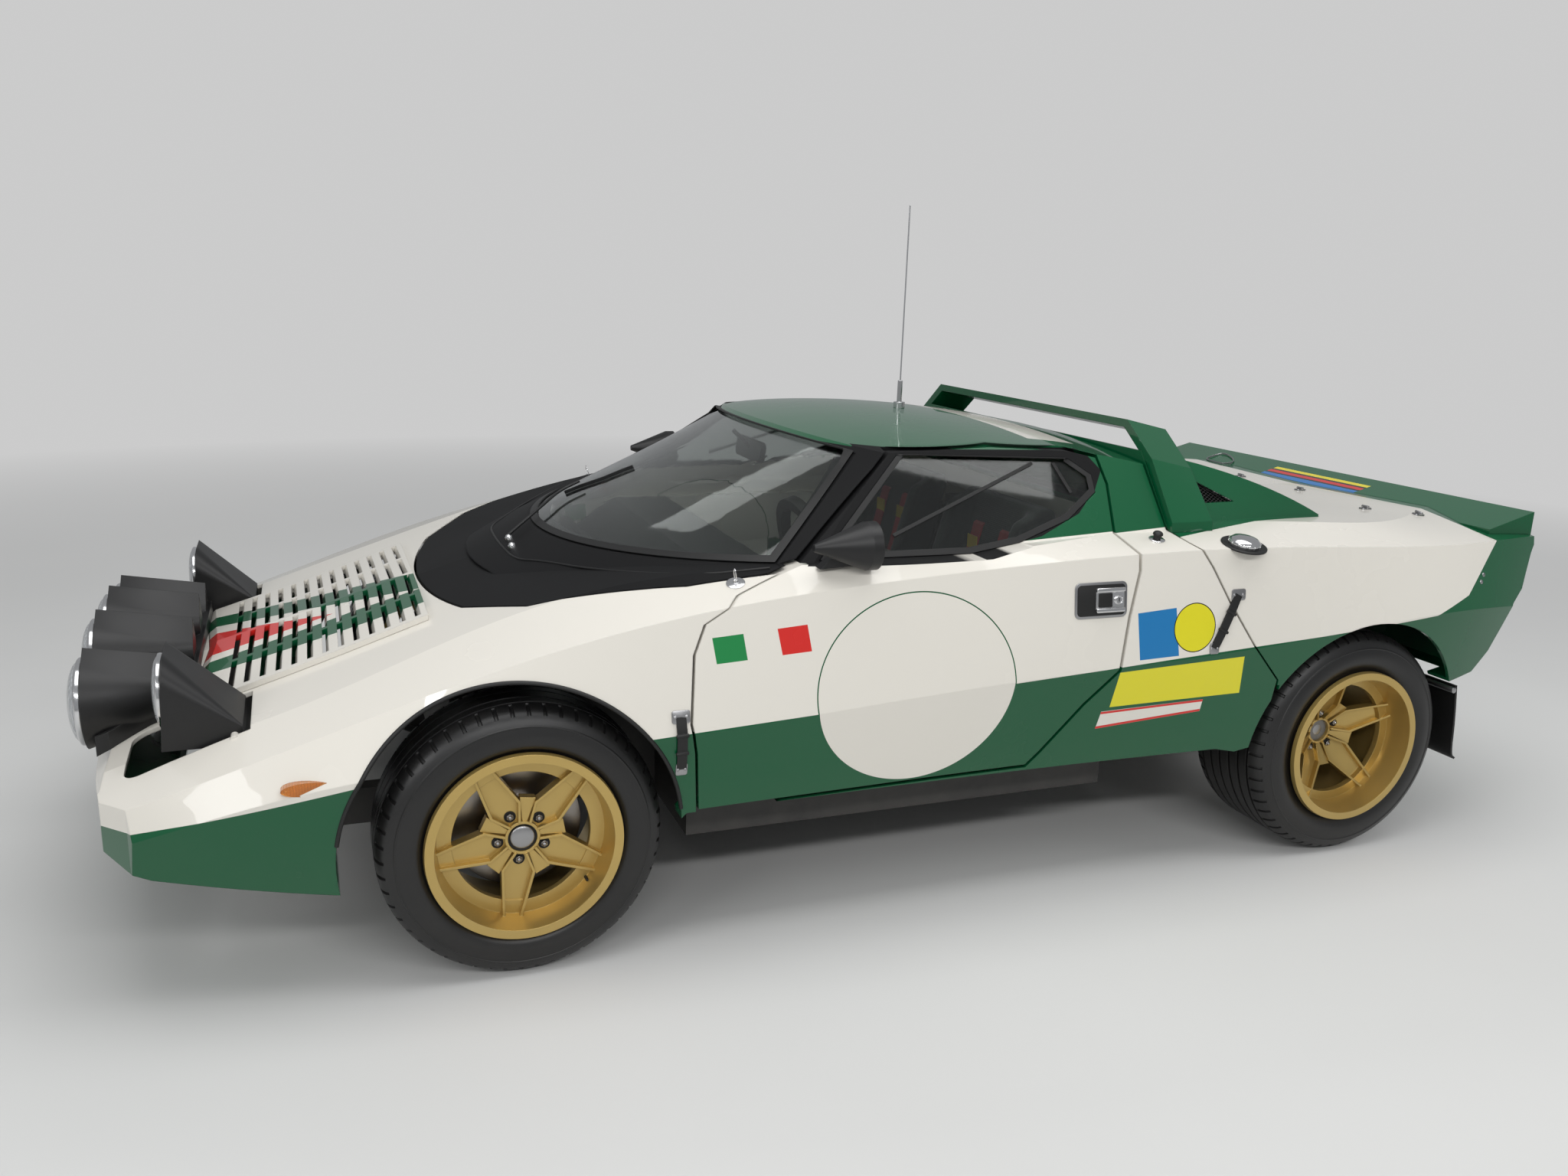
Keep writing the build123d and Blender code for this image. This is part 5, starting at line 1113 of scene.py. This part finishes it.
class RALLY_OT_screen_fittings(bpy.types.Operator):
    """Cowl lip, wiper with its spindles, and the two bonnet pins"""

    bl_idname = "rally.screen_fittings"
    bl_label = "Cowl, wiper and pins"

    def execute(self, context):
        bm = bmesh.new()
        near = [on_top("cabin_shell", s, y)[0] + UP * 0.001 for s, y in COWL_LIP]
        far = [Vector((p.x, -p.y, p.z)) for p in near]
        add_tube(bm, round_path([*reversed(far), *near]), 0.0028)
        new_piece(bm, "cowl_lip", "seal_rubber")
        self.wiper()
        for side, sign in SIDES.items():
            self.bonnet_pin(side, sign)
        return {"FINISHED"}

    def wiper(self):
        metal, arm = bmesh.new(), bmesh.new()
        hits = [on_top("cabin_shell", s, y) for s, y in SPINDLES]
        for place, normal in hits:
            add_rod(metal, place - normal * 0.004, place + normal * 0.012, 0.011, 0.009, 24, 0.001)
            add_dome(metal, place + normal * 0.012, normal, 0.0065, 0.005)
        new_piece(metal, "wiper_spindles", "bright_chrome")
        foot, upright = hits[0]
        path = [foot + upright * 0.014, *above("windscreen", WIPER_PATH, 0.022)]
        add_tube(arm, round_path(path), 0.0042, smooth_curve=True)
        normal = on_top("windscreen", *WIPER_BLADE[-1])[1]
        add_strip(arm, above("windscreen", WIPER_BLADE, 0.005), normal * 0.009, 0.0045)
        new_piece(arm, "wiper_arm", "satin_black")

    def bonnet_pin(self, side, sign):
        s, y = PIN_PLACE
        place, normal = on_top("front_clam", s, sign * y)
        pin = bmesh.new()
        add_spun(pin, PIN_WASHER, place, normal, 40)
        add_rod(pin, place, place + normal * 0.012, 0.006, 0.005, 20, bevel=0.001)
        across = normal.cross(BACKWARD).normalized()
        ring = [place + normal * (0.022 + 0.016 * math.sin(a)) + across * 0.008 * math.cos(a)
                for a in (math.tau * i / 24 for i in range(25))]
        add_tube(pin, ring, 0.0012)
        new_piece(pin, "bonnet_pin_" + side, "bright_chrome", "front_clam")


# Places on the flanks, as (station, z)
STRAPS = {"front": ((321, 562), (324, 445), "front_clam"),
          "rear": ((1740, 745), (1676, 615), "rear_clam")}
STRAP_LIFTS = (0.003, 0.005, 0.006, 0.006, 0.006, 0.005, 0.003)
HANDLE_PLACE, KNOB_PLACE, FILLER_PLACE = (1351, 750), (1548, 872), (1765, 862)
ARCH_CENTRE, ARCH_REACHES, ARCH_LEAST_Y = (-20, 300), range(318, 380), 0.77
VENT_PLACE = (1760, 930)
VENT_CORNERS = [(1740, 1002), (1741, 932), (1890, 931)]  # a little past the edges of the opening
VENT_SINK, VENT_PITCH, VENT_SLANT, VENT_WIRE = 0.005, 0.008, 32, 0.0011
FLAP_PATH = [(2536, 440), (2552, 330), (2558, 236), (2574, 226)]
FLAP_Y, FLAP_WIDTH, FLAP_THICKNESS = 730, 0.255, 0.006
FLAP_BAR_PLACE, FLAP_BAR_ENDS, FLAP_CLAMP_STATION = (2525, 427), (410, 860), 2541
FLAP_BOLTS = (-0.105, -0.035, 0.035, 0.105)
MIRROR_DEPTH, MIRROR_RIM, MIRROR_LIFT = 0.03, 0.006, 0.0012
STRAP_PLATES = (0.040, 0.026)  # lengths at the top and at the foot
HANDLE_PLATES = (  # piece, shift along and across, outline, low and high face, bevel and steps
    ("frame", 0, 0, (0.142, 0.086, 0.014), -0.004, 0.0026, 0.0012, 2),
    ("recess", 0, 0, (0.130, 0.074, 0.010), -0.003, 0.0034, 0.0004, 2),
    ("lever", 0.022, 0, (0.078, 0.060, 0.006), 0.0034, 0.0075, 0.0015, 3),
    ("lever", 0.022, -0.024, (0.078, 0.011, 0.004), 0.007, 0.0125, 0.003, 3),
    ("lever", 0.022, 0.024, (0.078, 0.011, 0.004), 0.007, 0.0125, 0.003, 3),
    ("recess", 0.008, 0, (0.038, 0.034, 0.003), 0.007, 0.0085, 0.0005, 2))
LOCK_SHIFT, LOCK_HEIGHT = 0.044, 0.0075
KNURLS, KNURL_CIRCLE = 12, 0.0385
KNOB_BASE = [(-0.001, 0), (-0.001, 0.020), (0.003, 0.020), (0.005, 0.016), (0.005, 0)]
LOCK = [(-0.002, 0), (-0.002, 0.0105), (0.0035, 0.0105), (0.0046, 0.0088), (0.0026, 0.0075),
        (0.0026, 0)]
FILLER_RECESS = [(-0.002, 0), (-0.002, 0.056), (0.0015, 0.056), (0.003, 0.0525),
                 (0.0008, 0.049), (0.0008, 0)]
FILLER_CAP = [(0.0, 0), (0.0, 0.038), (0.008, 0.039), (0.012, 0.0377), (0.018, 0.031),
              (0.021, 0.019), (0.022, 0)]


class RALLY_OT_flank_fittings(bpy.types.Operator):
    """Door handles, mirror glass, straps, mud flaps, vent mesh, arch lips and the filler"""

    bl_idname = "rally.flank_fittings"
    bl_label = "Flank fittings"

    def execute(self, context):
        for side, sign in SIDES.items():
            self.handle(side, sign)
            self.mirror(side)
            self.knob(side, sign)
            for end in STRAPS:
                self.strap(end, side, sign, *STRAPS[end])
            self.flap(side, sign)
            self.arch_lip(side, sign)
            self.vent_mesh(side, sign)
        self.filler()
        return {"FINISHED"}

    def handle(self, side, sign):
        place, normal = on_side("door_" + side, *HANDLE_PLACE, sign)
        matrix = seat(place, normal, BACKWARD)
        parts = {name: bmesh.new() for name in ("frame", "recess", "lever")}
        for name, along, across, *plate in HANDLE_PLATES:
            add_plate(parts[name], matrix @ Matrix.Translation((along, across, 0)), *plate)
        lock = matrix @ Vector((LOCK_SHIFT, 0, LOCK_HEIGHT))
        add_spun(parts["lever"], LOCK, lock, normal, 28)
        keyhole = seat(lock + normal * 0.0026, normal, UP)
        add_plate(parts["recess"], keyhole, (0.009, 0.0022, 0.0006), 0.0, 0.0004)
        body = "door_" + side
        new_piece(parts["frame"], "handle_frame_" + side, "dull_steel", body)
        new_piece(parts["recess"], "handle_recess_" + side, "seal_rubber", body)
        new_piece(parts["lever"], "door_handle_" + side, "bright_chrome", body)

    def mirror(self, side):
        patch = skin("door_mirror_" + side, BACKWARD, 0.86)
        back = max(v.co.x for v in patch.verts)
        front = [f for f in patch.faces if f.calc_center_median().x < back - MIRROR_DEPTH]
        bmesh.ops.delete(patch, geom=front, context="FACES")
        rim = inset(patch, patch.faces[:], thickness=MIRROR_RIM)
        bmesh.ops.delete(patch, geom=rim, context="FACES")
        bmesh.ops.translate(patch, verts=patch.verts[:], vec=(MIRROR_LIFT, 0, 0))
        bmesh.ops.solidify(patch, geom=patch.faces[:], thickness=0.001)
        new_piece(patch, "mirror_glass_" + side, "mirror_glass", "door_" + side)

    def knob(self, side, sign):
        place, normal = on_side("cabin_shell", *KNOB_PLACE, sign)
        base, grip = bmesh.new(), bmesh.new()
        add_spun(base, KNOB_BASE, place, normal, 40)
        add_rod(grip, place + normal * 0.004, place + normal * 0.016, 0.009, 0.011, 24, 0.001)
        add_dome(grip, place + normal * 0.016, normal, 0.0125, 0.008)
        new_piece(base, "knob_base_" + side, "bright_chrome")
        new_piece(grip, "knob_" + side, "seal_rubber")

    def strap(self, end, side, sign, top, foot, node):
        """Rubber hold-down strap with its plates."""
        rows = [[a + (b - a) * step / 6 for a, b in zip(top, foot)] for step in range(7)]
        hits = [on_side((node, "cabin_shell"), s, z, sign) for s, z in rows]
        path = [place + normal * lift for (place, normal), lift in zip(hits, STRAP_LIFTS)]
        across = hits[3][1].cross(path[-1] - path[0]).normalized() * sizes().strap_width
        rubber, steel = bmesh.new(), bmesh.new()
        add_strip(rubber, round_path(path, 1), across, 0.004)
        for index in (2, 4):
            add_rod(rubber, path[index] - across * 0.62, path[index] + across * 0.62, 0.004,
                    segments=16, bevel=0.0008)
        for (place, out), size in zip((hits[0], hits[-1]), STRAP_PLATES):
            matrix = seat(place, out, BACKWARD)
            add_plate(steel, matrix, (size, 0.028, 0.005), -0.001, 0.003, 0.0008)
            for shift in (-size * 0.32, size * 0.32):
                add_dome(steel, matrix @ Vector((shift, 0, 0.003)), out, 0.0032, 0.0018, steps=16)
        new_piece(rubber, "strap_" + end + "_" + side, "seal_rubber", node)
        new_piece(steel, "strap_plate_" + end + "_" + side, "dull_steel", node)

    def flap(self, side, sign):
        """Mud flap behind the rear wheel, bolted to a bar on the rear frame."""
        rubber, bar = bmesh.new(), bmesh.new()
        path = round_path([at(s, sign * FLAP_Y, z) for s, z in FLAP_PATH])
        add_strip(rubber, path, (0, FLAP_WIDTH, 0), FLAP_THICKNESS)
        s, z = FLAP_BAR_PLACE
        add_rod(bar, *[at(s, sign * y, z) for y in FLAP_BAR_ENDS], 0.008, bevel=0.001)
        back = Vector((1, 0, 0.12))
        clamp = seat(at(FLAP_CLAMP_STATION, sign * FLAP_Y, z), back, (0, 1, 0))
        add_plate(bar, clamp, (0.245, 0.022, 0.004), -0.004, 0.002, 0.0008)
        for y in FLAP_BOLTS:
            add_dome(bar, clamp @ Vector((y, 0, 0.002)), back, 0.0055, 0.004, steps=20)
        new_piece(rubber, "mud_flap_" + side, "seal_rubber")
        new_piece(bar, "flap_bar_" + side, "dull_steel")

    def arch_lip(self, side, sign):
        """Rolled rubber edge of the front wheel opening, found by rays onto the flank."""
        clam, path = frame["nodes"]["front_clam"], []
        for degrees in range(8, 176, 4):
            angle = math.radians(degrees)
            for reach in ARCH_REACHES:
                origin = at(ARCH_CENTRE[0] + reach * math.cos(angle), sign * 1300,
                            ARCH_CENTRE[1] + reach * math.sin(angle))
                hit, place, _, _ = clam.ray_cast(origin, (0, -sign, 0))
                if hit and abs(place.y) > ARCH_LEAST_Y:
                    path.append(place)
                    break
        bm = bmesh.new()
        add_tube(bm, round_path(path, 1), 0.0045)
        new_piece(bm, "arch_lip_" + side, "seal_rubber", "front_clam")

    def vent_mesh(self, side, sign):
        """Expanded metal across the opening in the flank of a buttress."""
        beside, normal = on_side("rear_clam", *VENT_PLACE, sign)
        matrix = seat(beside - normal * VENT_SINK, normal, BACKWARD)
        flat = matrix.inverted()
        corners = []
        for s, z in VENT_CORNERS:
            inner, outer = (flat @ at(s, y, z) for y in (0, sign * 900))
            corners.append(inner.lerp(outer, inner.z / (inner.z - outer.z)))
        bm = bmesh.new()
        for degrees in (VENT_SLANT, -VENT_SLANT):
            across = Matrix.Rotation(math.radians(degrees), 3, "Z") @ Vector((0, 1, 0))
            reaches = [across.dot(c) / VENT_PITCH for c in corners]
            for step in range(math.ceil(min(reaches)), math.floor(max(reaches)) + 1):
                gaps = [(reach - step) * VENT_PITCH for reach in reaches]
                sides = zip(corners, corners[1:] + corners[:1], gaps, gaps[1:] + gaps[:1])
                ends = [a.lerp(b, ga / (ga - gb)) for a, b, ga, gb in sides if ga * gb < 0]
                if len(ends) == 2 and (ends[0] - ends[1]).length > VENT_PITCH:
                    add_rod(bm, matrix @ ends[0], matrix @ ends[1], VENT_WIRE, segments=6)
        new_piece(bm, "vent_mesh_" + side, "satin_black", "rear_clam")

    def filler(self):
        place, normal = on_side(("rear_clam", "cabin_shell"), *FILLER_PLACE, -1)
        recess, cap = bmesh.new(), bmesh.new()
        add_spun(recess, FILLER_RECESS, place, normal)
        add_spun(cap, FILLER_CAP, place, normal, 56)
        matrix = seat(place, normal, BACKWARD)
        for turn in range(KNURLS):
            angle = math.tau * turn / KNURLS
            edge = matrix @ Vector((KNURL_CIRCLE * math.cos(angle),
                                    KNURL_CIRCLE * math.sin(angle), 0.002))
            add_rod(cap, edge, edge + normal * 0.009, 0.0024, segments=10)
        new_piece(recess, "filler_recess", "seal_rubber", "rear_clam")
        new_piece(cap, "filler_cap", "bright_chrome", "rear_clam")


SEAT_CENTRE, STRAP_OFFSET = 300, 72
STRAP_HEIGHTS = (830, 760, 690, 620, 550, 480, 430)
LAP_PATH = ((-175, 0.035), (-120, 0.018), (-40, 0.012), (40, 0.012), (120, 0.018), (175, 0.035))
BELT_THICKNESS, BELT_LIFT = 0.003, 0.006
BELT_ANCHOR = Vector((0.075, 0, 0.004))  # from the top of a shoulder strap, behind the seat
BAND_REACHES = (0.02, -0.02)
DIALS = [(-395, 705), (-300, 715), (-205, 705), (-110, 700), (-30, 700)]  # y, z
DIAL_RIM = [(-0.001, 0.036), (0.006, 0.036), (0.008, 0.034), (0.006, 0.032), (-0.001, 0.032)]
DIAL_FACE = [(-0.001, 0), (-0.001, 0.033), (0.003, 0.033), (0.003, 0)]
SEAT_VOXEL, SEAT_SOFTENING, SEAT_ROUNDS = 0.009, 0.6, 14


class RALLY_OT_cabin(bpy.types.Operator):
    """Soft bucket seats, harnesses, dials and the inside mirror"""

    bl_idname = "rally.cabin"
    bl_label = "Cabin"

    def execute(self, context):
        for side, sign in SIDES.items():
            self.cushion(side)
            self.harness(side, sign)
        self.instruments()
        self.inside_mirror()
        return {"FINISHED"}

    def cushion(self, side):
        """The plain seat grown round and full: a closed voxel skin, smoothed."""
        node = frame["nodes"]["seat_" + side]
        carrier = bpy.data.objects.new("seat_carrier", node.data.copy())
        bpy.context.scene.collection.objects.link(carrier)
        weld = carrier.modifiers.new("weld", "WELD")
        weld.merge_threshold = 0.00002
        remesh = carrier.modifiers.new("skin", "REMESH")
        remesh.mode, remesh.voxel_size = "VOXEL", SEAT_VOXEL
        soften = carrier.modifiers.new("soften", "SMOOTH")
        soften.factor, soften.iterations = SEAT_SOFTENING, SEAT_ROUNDS
        bm = bmesh.new()
        take_in(bm, evaluated_mesh(carrier))
        cushion = new_piece(bm, "bucket_seat_" + side, "seat_cloth", replaces=["seat_" + side],
                            smooth=60.0)
        bpy.context.view_layer.update()

    def harness(self, side, sign):
        """Two shoulder straps down the seat back and a lap strap, with buckles."""
        middle = sign * SEAT_CENTRE
        node = "bucket_seat_" + side
        red, steel, band = bmesh.new(), bmesh.new(), bmesh.new()
        width = sizes().harness_width
        for y in (middle - STRAP_OFFSET, middle + STRAP_OFFSET):
            hits = [touch(node, at(900, y, z), BACKWARD) for z in STRAP_HEIGHTS]
            path = [place + normal * BELT_LIFT for place, normal in hits]
            belt = round_path([path[0] + BELT_ANCHOR, *path], 1)
            add_strip(red, belt, (0, width, 0), BELT_THICKNESS)
            ends = [path[1] + Vector((-0.004, 0, z)) for z in BAND_REACHES]
            add_strip(band, ends, (0, width * 1.02, 0), BELT_THICKNESS)
            matrix = seat(path[3], (-1, 0, 0.1), (0, 1, 0))
            add_plate(steel, matrix, (width * 1.25, 0.042, 0.008), 0.001, 0.005, 0.001)
        buckle, normal = touch(node, at(1250, middle, 1000), DOWN)
        lap = [Vector((buckle.x, (middle + y) * MM, buckle.z + z)) for y, z in LAP_PATH]
        add_strip(red, lap, (width, 0, 0), BELT_THICKNESS)
        matrix = seat(buckle + normal * 0.015, normal, BACKWARD)
        add_plate(steel, matrix, (0.06, 0.055, 0.012), 0.0, 0.012, 0.003)
        new_piece(red, "harness_" + side, "harness_web")
        new_piece(band, "harness_band_" + side, "harness_yellow")
        new_piece(steel, "harness_buckle_" + side, "dull_steel")

    def instruments(self):
        rims, faces = bmesh.new(), bmesh.new()
        for y, z in DIALS:
            place, normal = touch("dashboard", at(1100, y, z), FORWARD)
            add_spun(rims, DIAL_RIM, place, normal, 40)
            add_spun(faces, DIAL_FACE, place, normal, 40)
        new_piece(rims, "dial_rims", "bright_chrome")
        new_piece(faces, "dial_faces", "dial_white")

    def inside_mirror(self):
        top, _ = touch("windscreen", at(715, 0, 700), UP)
        housing, glass = bmesh.new(), bmesh.new()
        head = top + Vector((0.055, 0, -0.052))
        stem = [top + Vector((0, 0, -0.002)), top + Vector((0.02, 0, -0.02)), head]
        add_tube(housing, stem, 0.006, smooth_curve=True)
        matrix = seat(head, (1, 0, -0.15), (0, 1, 0))
        add_plate(housing, matrix, (0.20, 0.055, 0.018), -0.012, 0.004, 0.004, 3)
        add_plate(glass, matrix, (0.19, 0.046, 0.015), 0.004, 0.0052)
        new_piece(housing, "inside_mirror", "satin_black")
        new_piece(glass, "inside_mirror_glass", "mirror_glass")


TAIL_LAMP_PLACE = (560, 752)  # y, z
LAMP_RINGS = (
    (56, [(-0.012, 0.0585), (-0.012, 0.0645), (0.001, 0.0645), (0.003, 0.062), (0.001, 0.0585)]),
    (40, [(-0.002, 0.026), (-0.002, 0.030), (0.002, 0.0295), (0.002, 0.0265)]))
DECK_CLIPS = ((2502, 485), (2602, 583), (2582, 138))  # station, y
DECK_SCREWS = ((2586, 746), (2574, 728))  # station, z
SPOILER_WIRE = ((2711, 385), (2750, 380), (2776, 401), (2800, 450), (2815, 506), (2777, 515),
                (2735, 508), (2712, 450), (2711, 385))  # station, y


class RALLY_OT_tail(bpy.types.Operator):
    """Tail lamp rims, deck clips, screws and guard wire"""

    bl_idname = "rally.tail"
    bl_label = "Tail fittings"

    def execute(self, context):
        rims, clips, wire = bmesh.new(), bmesh.new(), bmesh.new()
        for sign in SIDES.values():
            self.lamp_rim(rims, sign)
            self.clips(clips, sign)
        loop = above(("tail_spoiler", "rear_clam"), SPOILER_WIRE, 0.004)
        add_tube(wire, round_path(loop), 0.0025)
        new_piece(rims, "tail_lamp_rims", "bright_chrome", "rear_clam")
        new_piece(clips, "deck_clips", "dull_steel", "rear_clam")
        new_piece(wire, "spoiler_wire", "dull_steel", "rear_clam")
        return {"FINISHED"}

    def lamp_rim(self, bm, sign):
        y, z = TAIL_LAMP_PLACE
        face, _ = touch("tail_lamps", at(3100, sign * y, z), FORWARD)
        for steps, profile in LAMP_RINGS:
            add_spun(bm, profile, face, BACKWARD, steps)

    def clips(self, bm, sign):
        for s, y in DECK_CLIPS:
            matrix = seat(*on_top("rear_clam", s, sign * y), BACKWARD)
            add_plate(bm, matrix, (0.034, 0.020, 0.005), -0.001, 0.004, 0.001)
            ends = [matrix @ Vector((0, reach, 0.007)) for reach in (-0.012, 0.012)]
            add_rod(bm, *ends, 0.004, segments=16, bevel=0.0006)
        for s, z in DECK_SCREWS:
            add_dome(bm, *on_side("rear_clam", s, z, sign), 0.006, 0.003, steps=20)


DAMPERS = ((0, 515, 34, 285, 505), (2242, 510, 36, 285, 590))  # station, Y, radius, low, high
SPRING_TURNS = 7


class RALLY_OT_springs(bpy.types.Operator):
    """Coil springs with their seats round the four dampers"""

    bl_idname = "rally.springs"
    bl_label = "Springs"

    def execute(self, context):
        coils, seats = bmesh.new(), bmesh.new()
        for s, y, radius, low, high in DAMPERS:
            near, far = radius * MM, (radius + 15) * MM
            washer = [(-0.003, near), (-0.003, far), (0.003, far), (0.003, near)]
            for sign in SIDES.values():
                foot, head = at(s, sign * y, low), at(s, sign * y, high)
                add_helix(coils, foot, head, (radius + 6.5) * MM, 0.0055, SPRING_TURNS)
                for place in (foot - UP * 0.009, head + UP * 0.009):
                    add_spun(seats, washer, place, UP, 40)
        new_piece(coils, "coil_springs", "spring_red")
        new_piece(seats, "spring_seats", "dull_steel")
        return {"FINISHED"}


CAMERA_PLACE = (-391.0, -3238.8, 1461.3)
CAMERA_TURN = (21.40, -13.90, 2.026)  # yaw, pitch and roll in degrees
BACKDROP = (0.60, 0.60, 0.60, 1.0)
FADE_START, FADE_LENGTH = 3.2, 5.0
LAMPS = {  # place, aim, size, share of the key power; whether it shows in reflections
    "overhead": ((0.0, -0.9, 4.8), (0, 0, 0.4), (5.6, 3.2), 0.55, True),
    "left_strip": ((-0.6, -5.2, 3.6), (0, 0, 0.5), (5.0, 0.3), 0.42, True),
    "front_fill": ((-5.2, -3.2, 3.0), (-0.6, 0, 0.5), (2.6, 1.6), 0.26, True),
    "right_fill": ((0.5, 4.0, 5.4), (0, 0, 0.4), (4.0, 1.2), 0.2, False),
    "rear_fill": ((5.0, -2.4, 3.4), (0.6, 0, 0.6), (2.4, 1.6), 0.2, False),
}


class RALLY_OT_stage(bpy.types.Operator):
    """Add the floor, the lights and the camera"""

    bl_idname = "rally.stage"
    bl_label = "Stage, lights and camera"

    def execute(self, context):
        scene = context.scene
        scene.view_settings.view_transform = "Standard"
        self.floor(scene)
        self.world(scene)
        for name, lamp in LAMPS.items():
            self.lamp(scene, name, *lamp)
        self.camera(scene)
        return {"FINISHED"}

    def floor(self, scene):
        bm = bmesh.new()
        bmesh.ops.create_grid(bm, x_segments=1, y_segments=1, size=14.0)
        mesh = bpy.data.meshes.new("studio_floor")
        bm.to_mesh(mesh)
        bm.free()
        floor = bpy.data.objects.new("studio_floor", mesh)
        scene.collection.objects.link(floor)
        finish = Finish("floor_paint", roughness=0.8, specular=0.2)
        patches = finish.grain(60.0, 0.7)["Patches"]
        finish.colour(finish.blend(patches, (0.62, 0.62, 0.61), (0.68, 0.68, 0.67)))
        self.fade(finish)
        floor.data.materials.append(finish.material)

    def fade(self, finish):
        """The floor runs out into the pale backdrop, far from the car."""
        tree = finish.tree
        length = add_node(tree, "VectorMath", finish.place, operation="LENGTH")
        far = calc(tree, "MULTIPLY_ADD", length.outputs["Value"], 1 / FADE_LENGTH,
                   -FADE_START / FADE_LENGTH, clamp=True)
        path = add_node(tree, "LightPath")
        finish.mix_with(calc(tree, "MULTIPLY", far, path.outputs["Is Camera Ray"]),
                        add_node(tree, "Emission", BACKDROP))

    def world(self, scene):
        world = bpy.data.worlds.new("studio")
        world.use_nodes = True
        tree = world.node_tree
        tree.nodes.clear()
        soft = add_node(tree, "Background", (0.86, 0.88, 0.9, 1.0), 0.38)
        bright = add_node(tree, "Background", BACKDROP)
        path = add_node(tree, "LightPath")
        mix = add_node(tree, "MixShader", path.outputs["Is Camera Ray"], soft.outputs[0],
                       bright.outputs[0])
        add_node(tree, "OutputWorld", mix.outputs[0])
        scene.world = world

    def lamp(self, scene, name, place, aim, size, share, glossy):
        light = bpy.data.lights.new(name, "AREA")
        light.shape = "RECTANGLE"
        light.size, light.size_y = size
        light.energy = sizes().key_power * share
        lamp = bpy.data.objects.new(name, light)
        scene.collection.objects.link(lamp)
        lamp.location = place
        lamp.rotation_mode = "QUATERNION"
        lamp.rotation_quaternion = (Vector(aim) - Vector(place)).to_track_quat("-Z", "Y")
        lamp.visible_glossy = glossy

    def camera(self, scene):
        data = bpy.data.cameras.new("photo_camera")
        data.sensor_width = 36.0
        data.lens = sizes().camera_lens
        data.clip_start = 0.05
        camera = bpy.data.objects.new("photo_camera", data)
        scene.collection.objects.link(camera)
        yaw, pitch, roll = (math.radians(v) for v in CAMERA_TURN)
        forward = Vector((math.sin(yaw) * math.cos(pitch), math.cos(yaw) * math.cos(pitch),
                          math.sin(pitch)))
        level = Vector((math.cos(yaw), -math.sin(yaw), 0))
        upright = level.cross(forward)
        right = level * math.cos(roll) + upright * math.sin(roll)
        up = upright * math.cos(roll) - level * math.sin(roll)
        turn = Matrix((right, up, -forward)).transposed().to_4x4()
        camera.matrix_world = Matrix.Translation(at(*CAMERA_PLACE)) @ turn
        scene.camera = camera


OPERATORS = [RALLY_OT_paint, RALLY_OT_tyres, RALLY_OT_wheel_fittings, RALLY_OT_lamps,
             RALLY_OT_seals, RALLY_OT_screen_fittings, RALLY_OT_flank_fittings, RALLY_OT_cabin,
             RALLY_OT_tail, RALLY_OT_springs, RALLY_OT_stage]


class RALLY_PT_panel(bpy.types.Panel):
    """Sidebar list of the build steps"""

    bl_label = "Rally Coupe"
    bl_idname = "RALLY_PT_panel"
    bl_space_type = "VIEW_3D"
    bl_region_type = "UI"
    bl_category = "Rally Coupe"

    def draw(self, context):
        column = self.layout.column()
        for operator in OPERATORS:
            column.operator(operator.bl_idname)
        for group in (sizes(), colours()):
            for name in group.__annotations__:
                column.prop(group, name)


CLASSES = [RallySizes, RallyColours, *OPERATORS, RALLY_PT_panel]


def register():
    for cls in CLASSES:
        bpy.utils.register_class(cls)
    bpy.types.Scene.rally_sizes = PointerProperty(type=RallySizes)
    bpy.types.Scene.rally_colours = PointerProperty(type=RallyColours)


def unregister():
    del bpy.types.Scene.rally_colours
    del bpy.types.Scene.rally_sizes
    for cls in reversed(CLASSES):
        bpy.utils.unregister_class(cls)


def main():
    register()
    for operator in OPERATORS:
        group, name = operator.bl_idname.split(".")
        getattr(getattr(bpy.ops, group), name)()


if __name__ == "__main__":
    main()
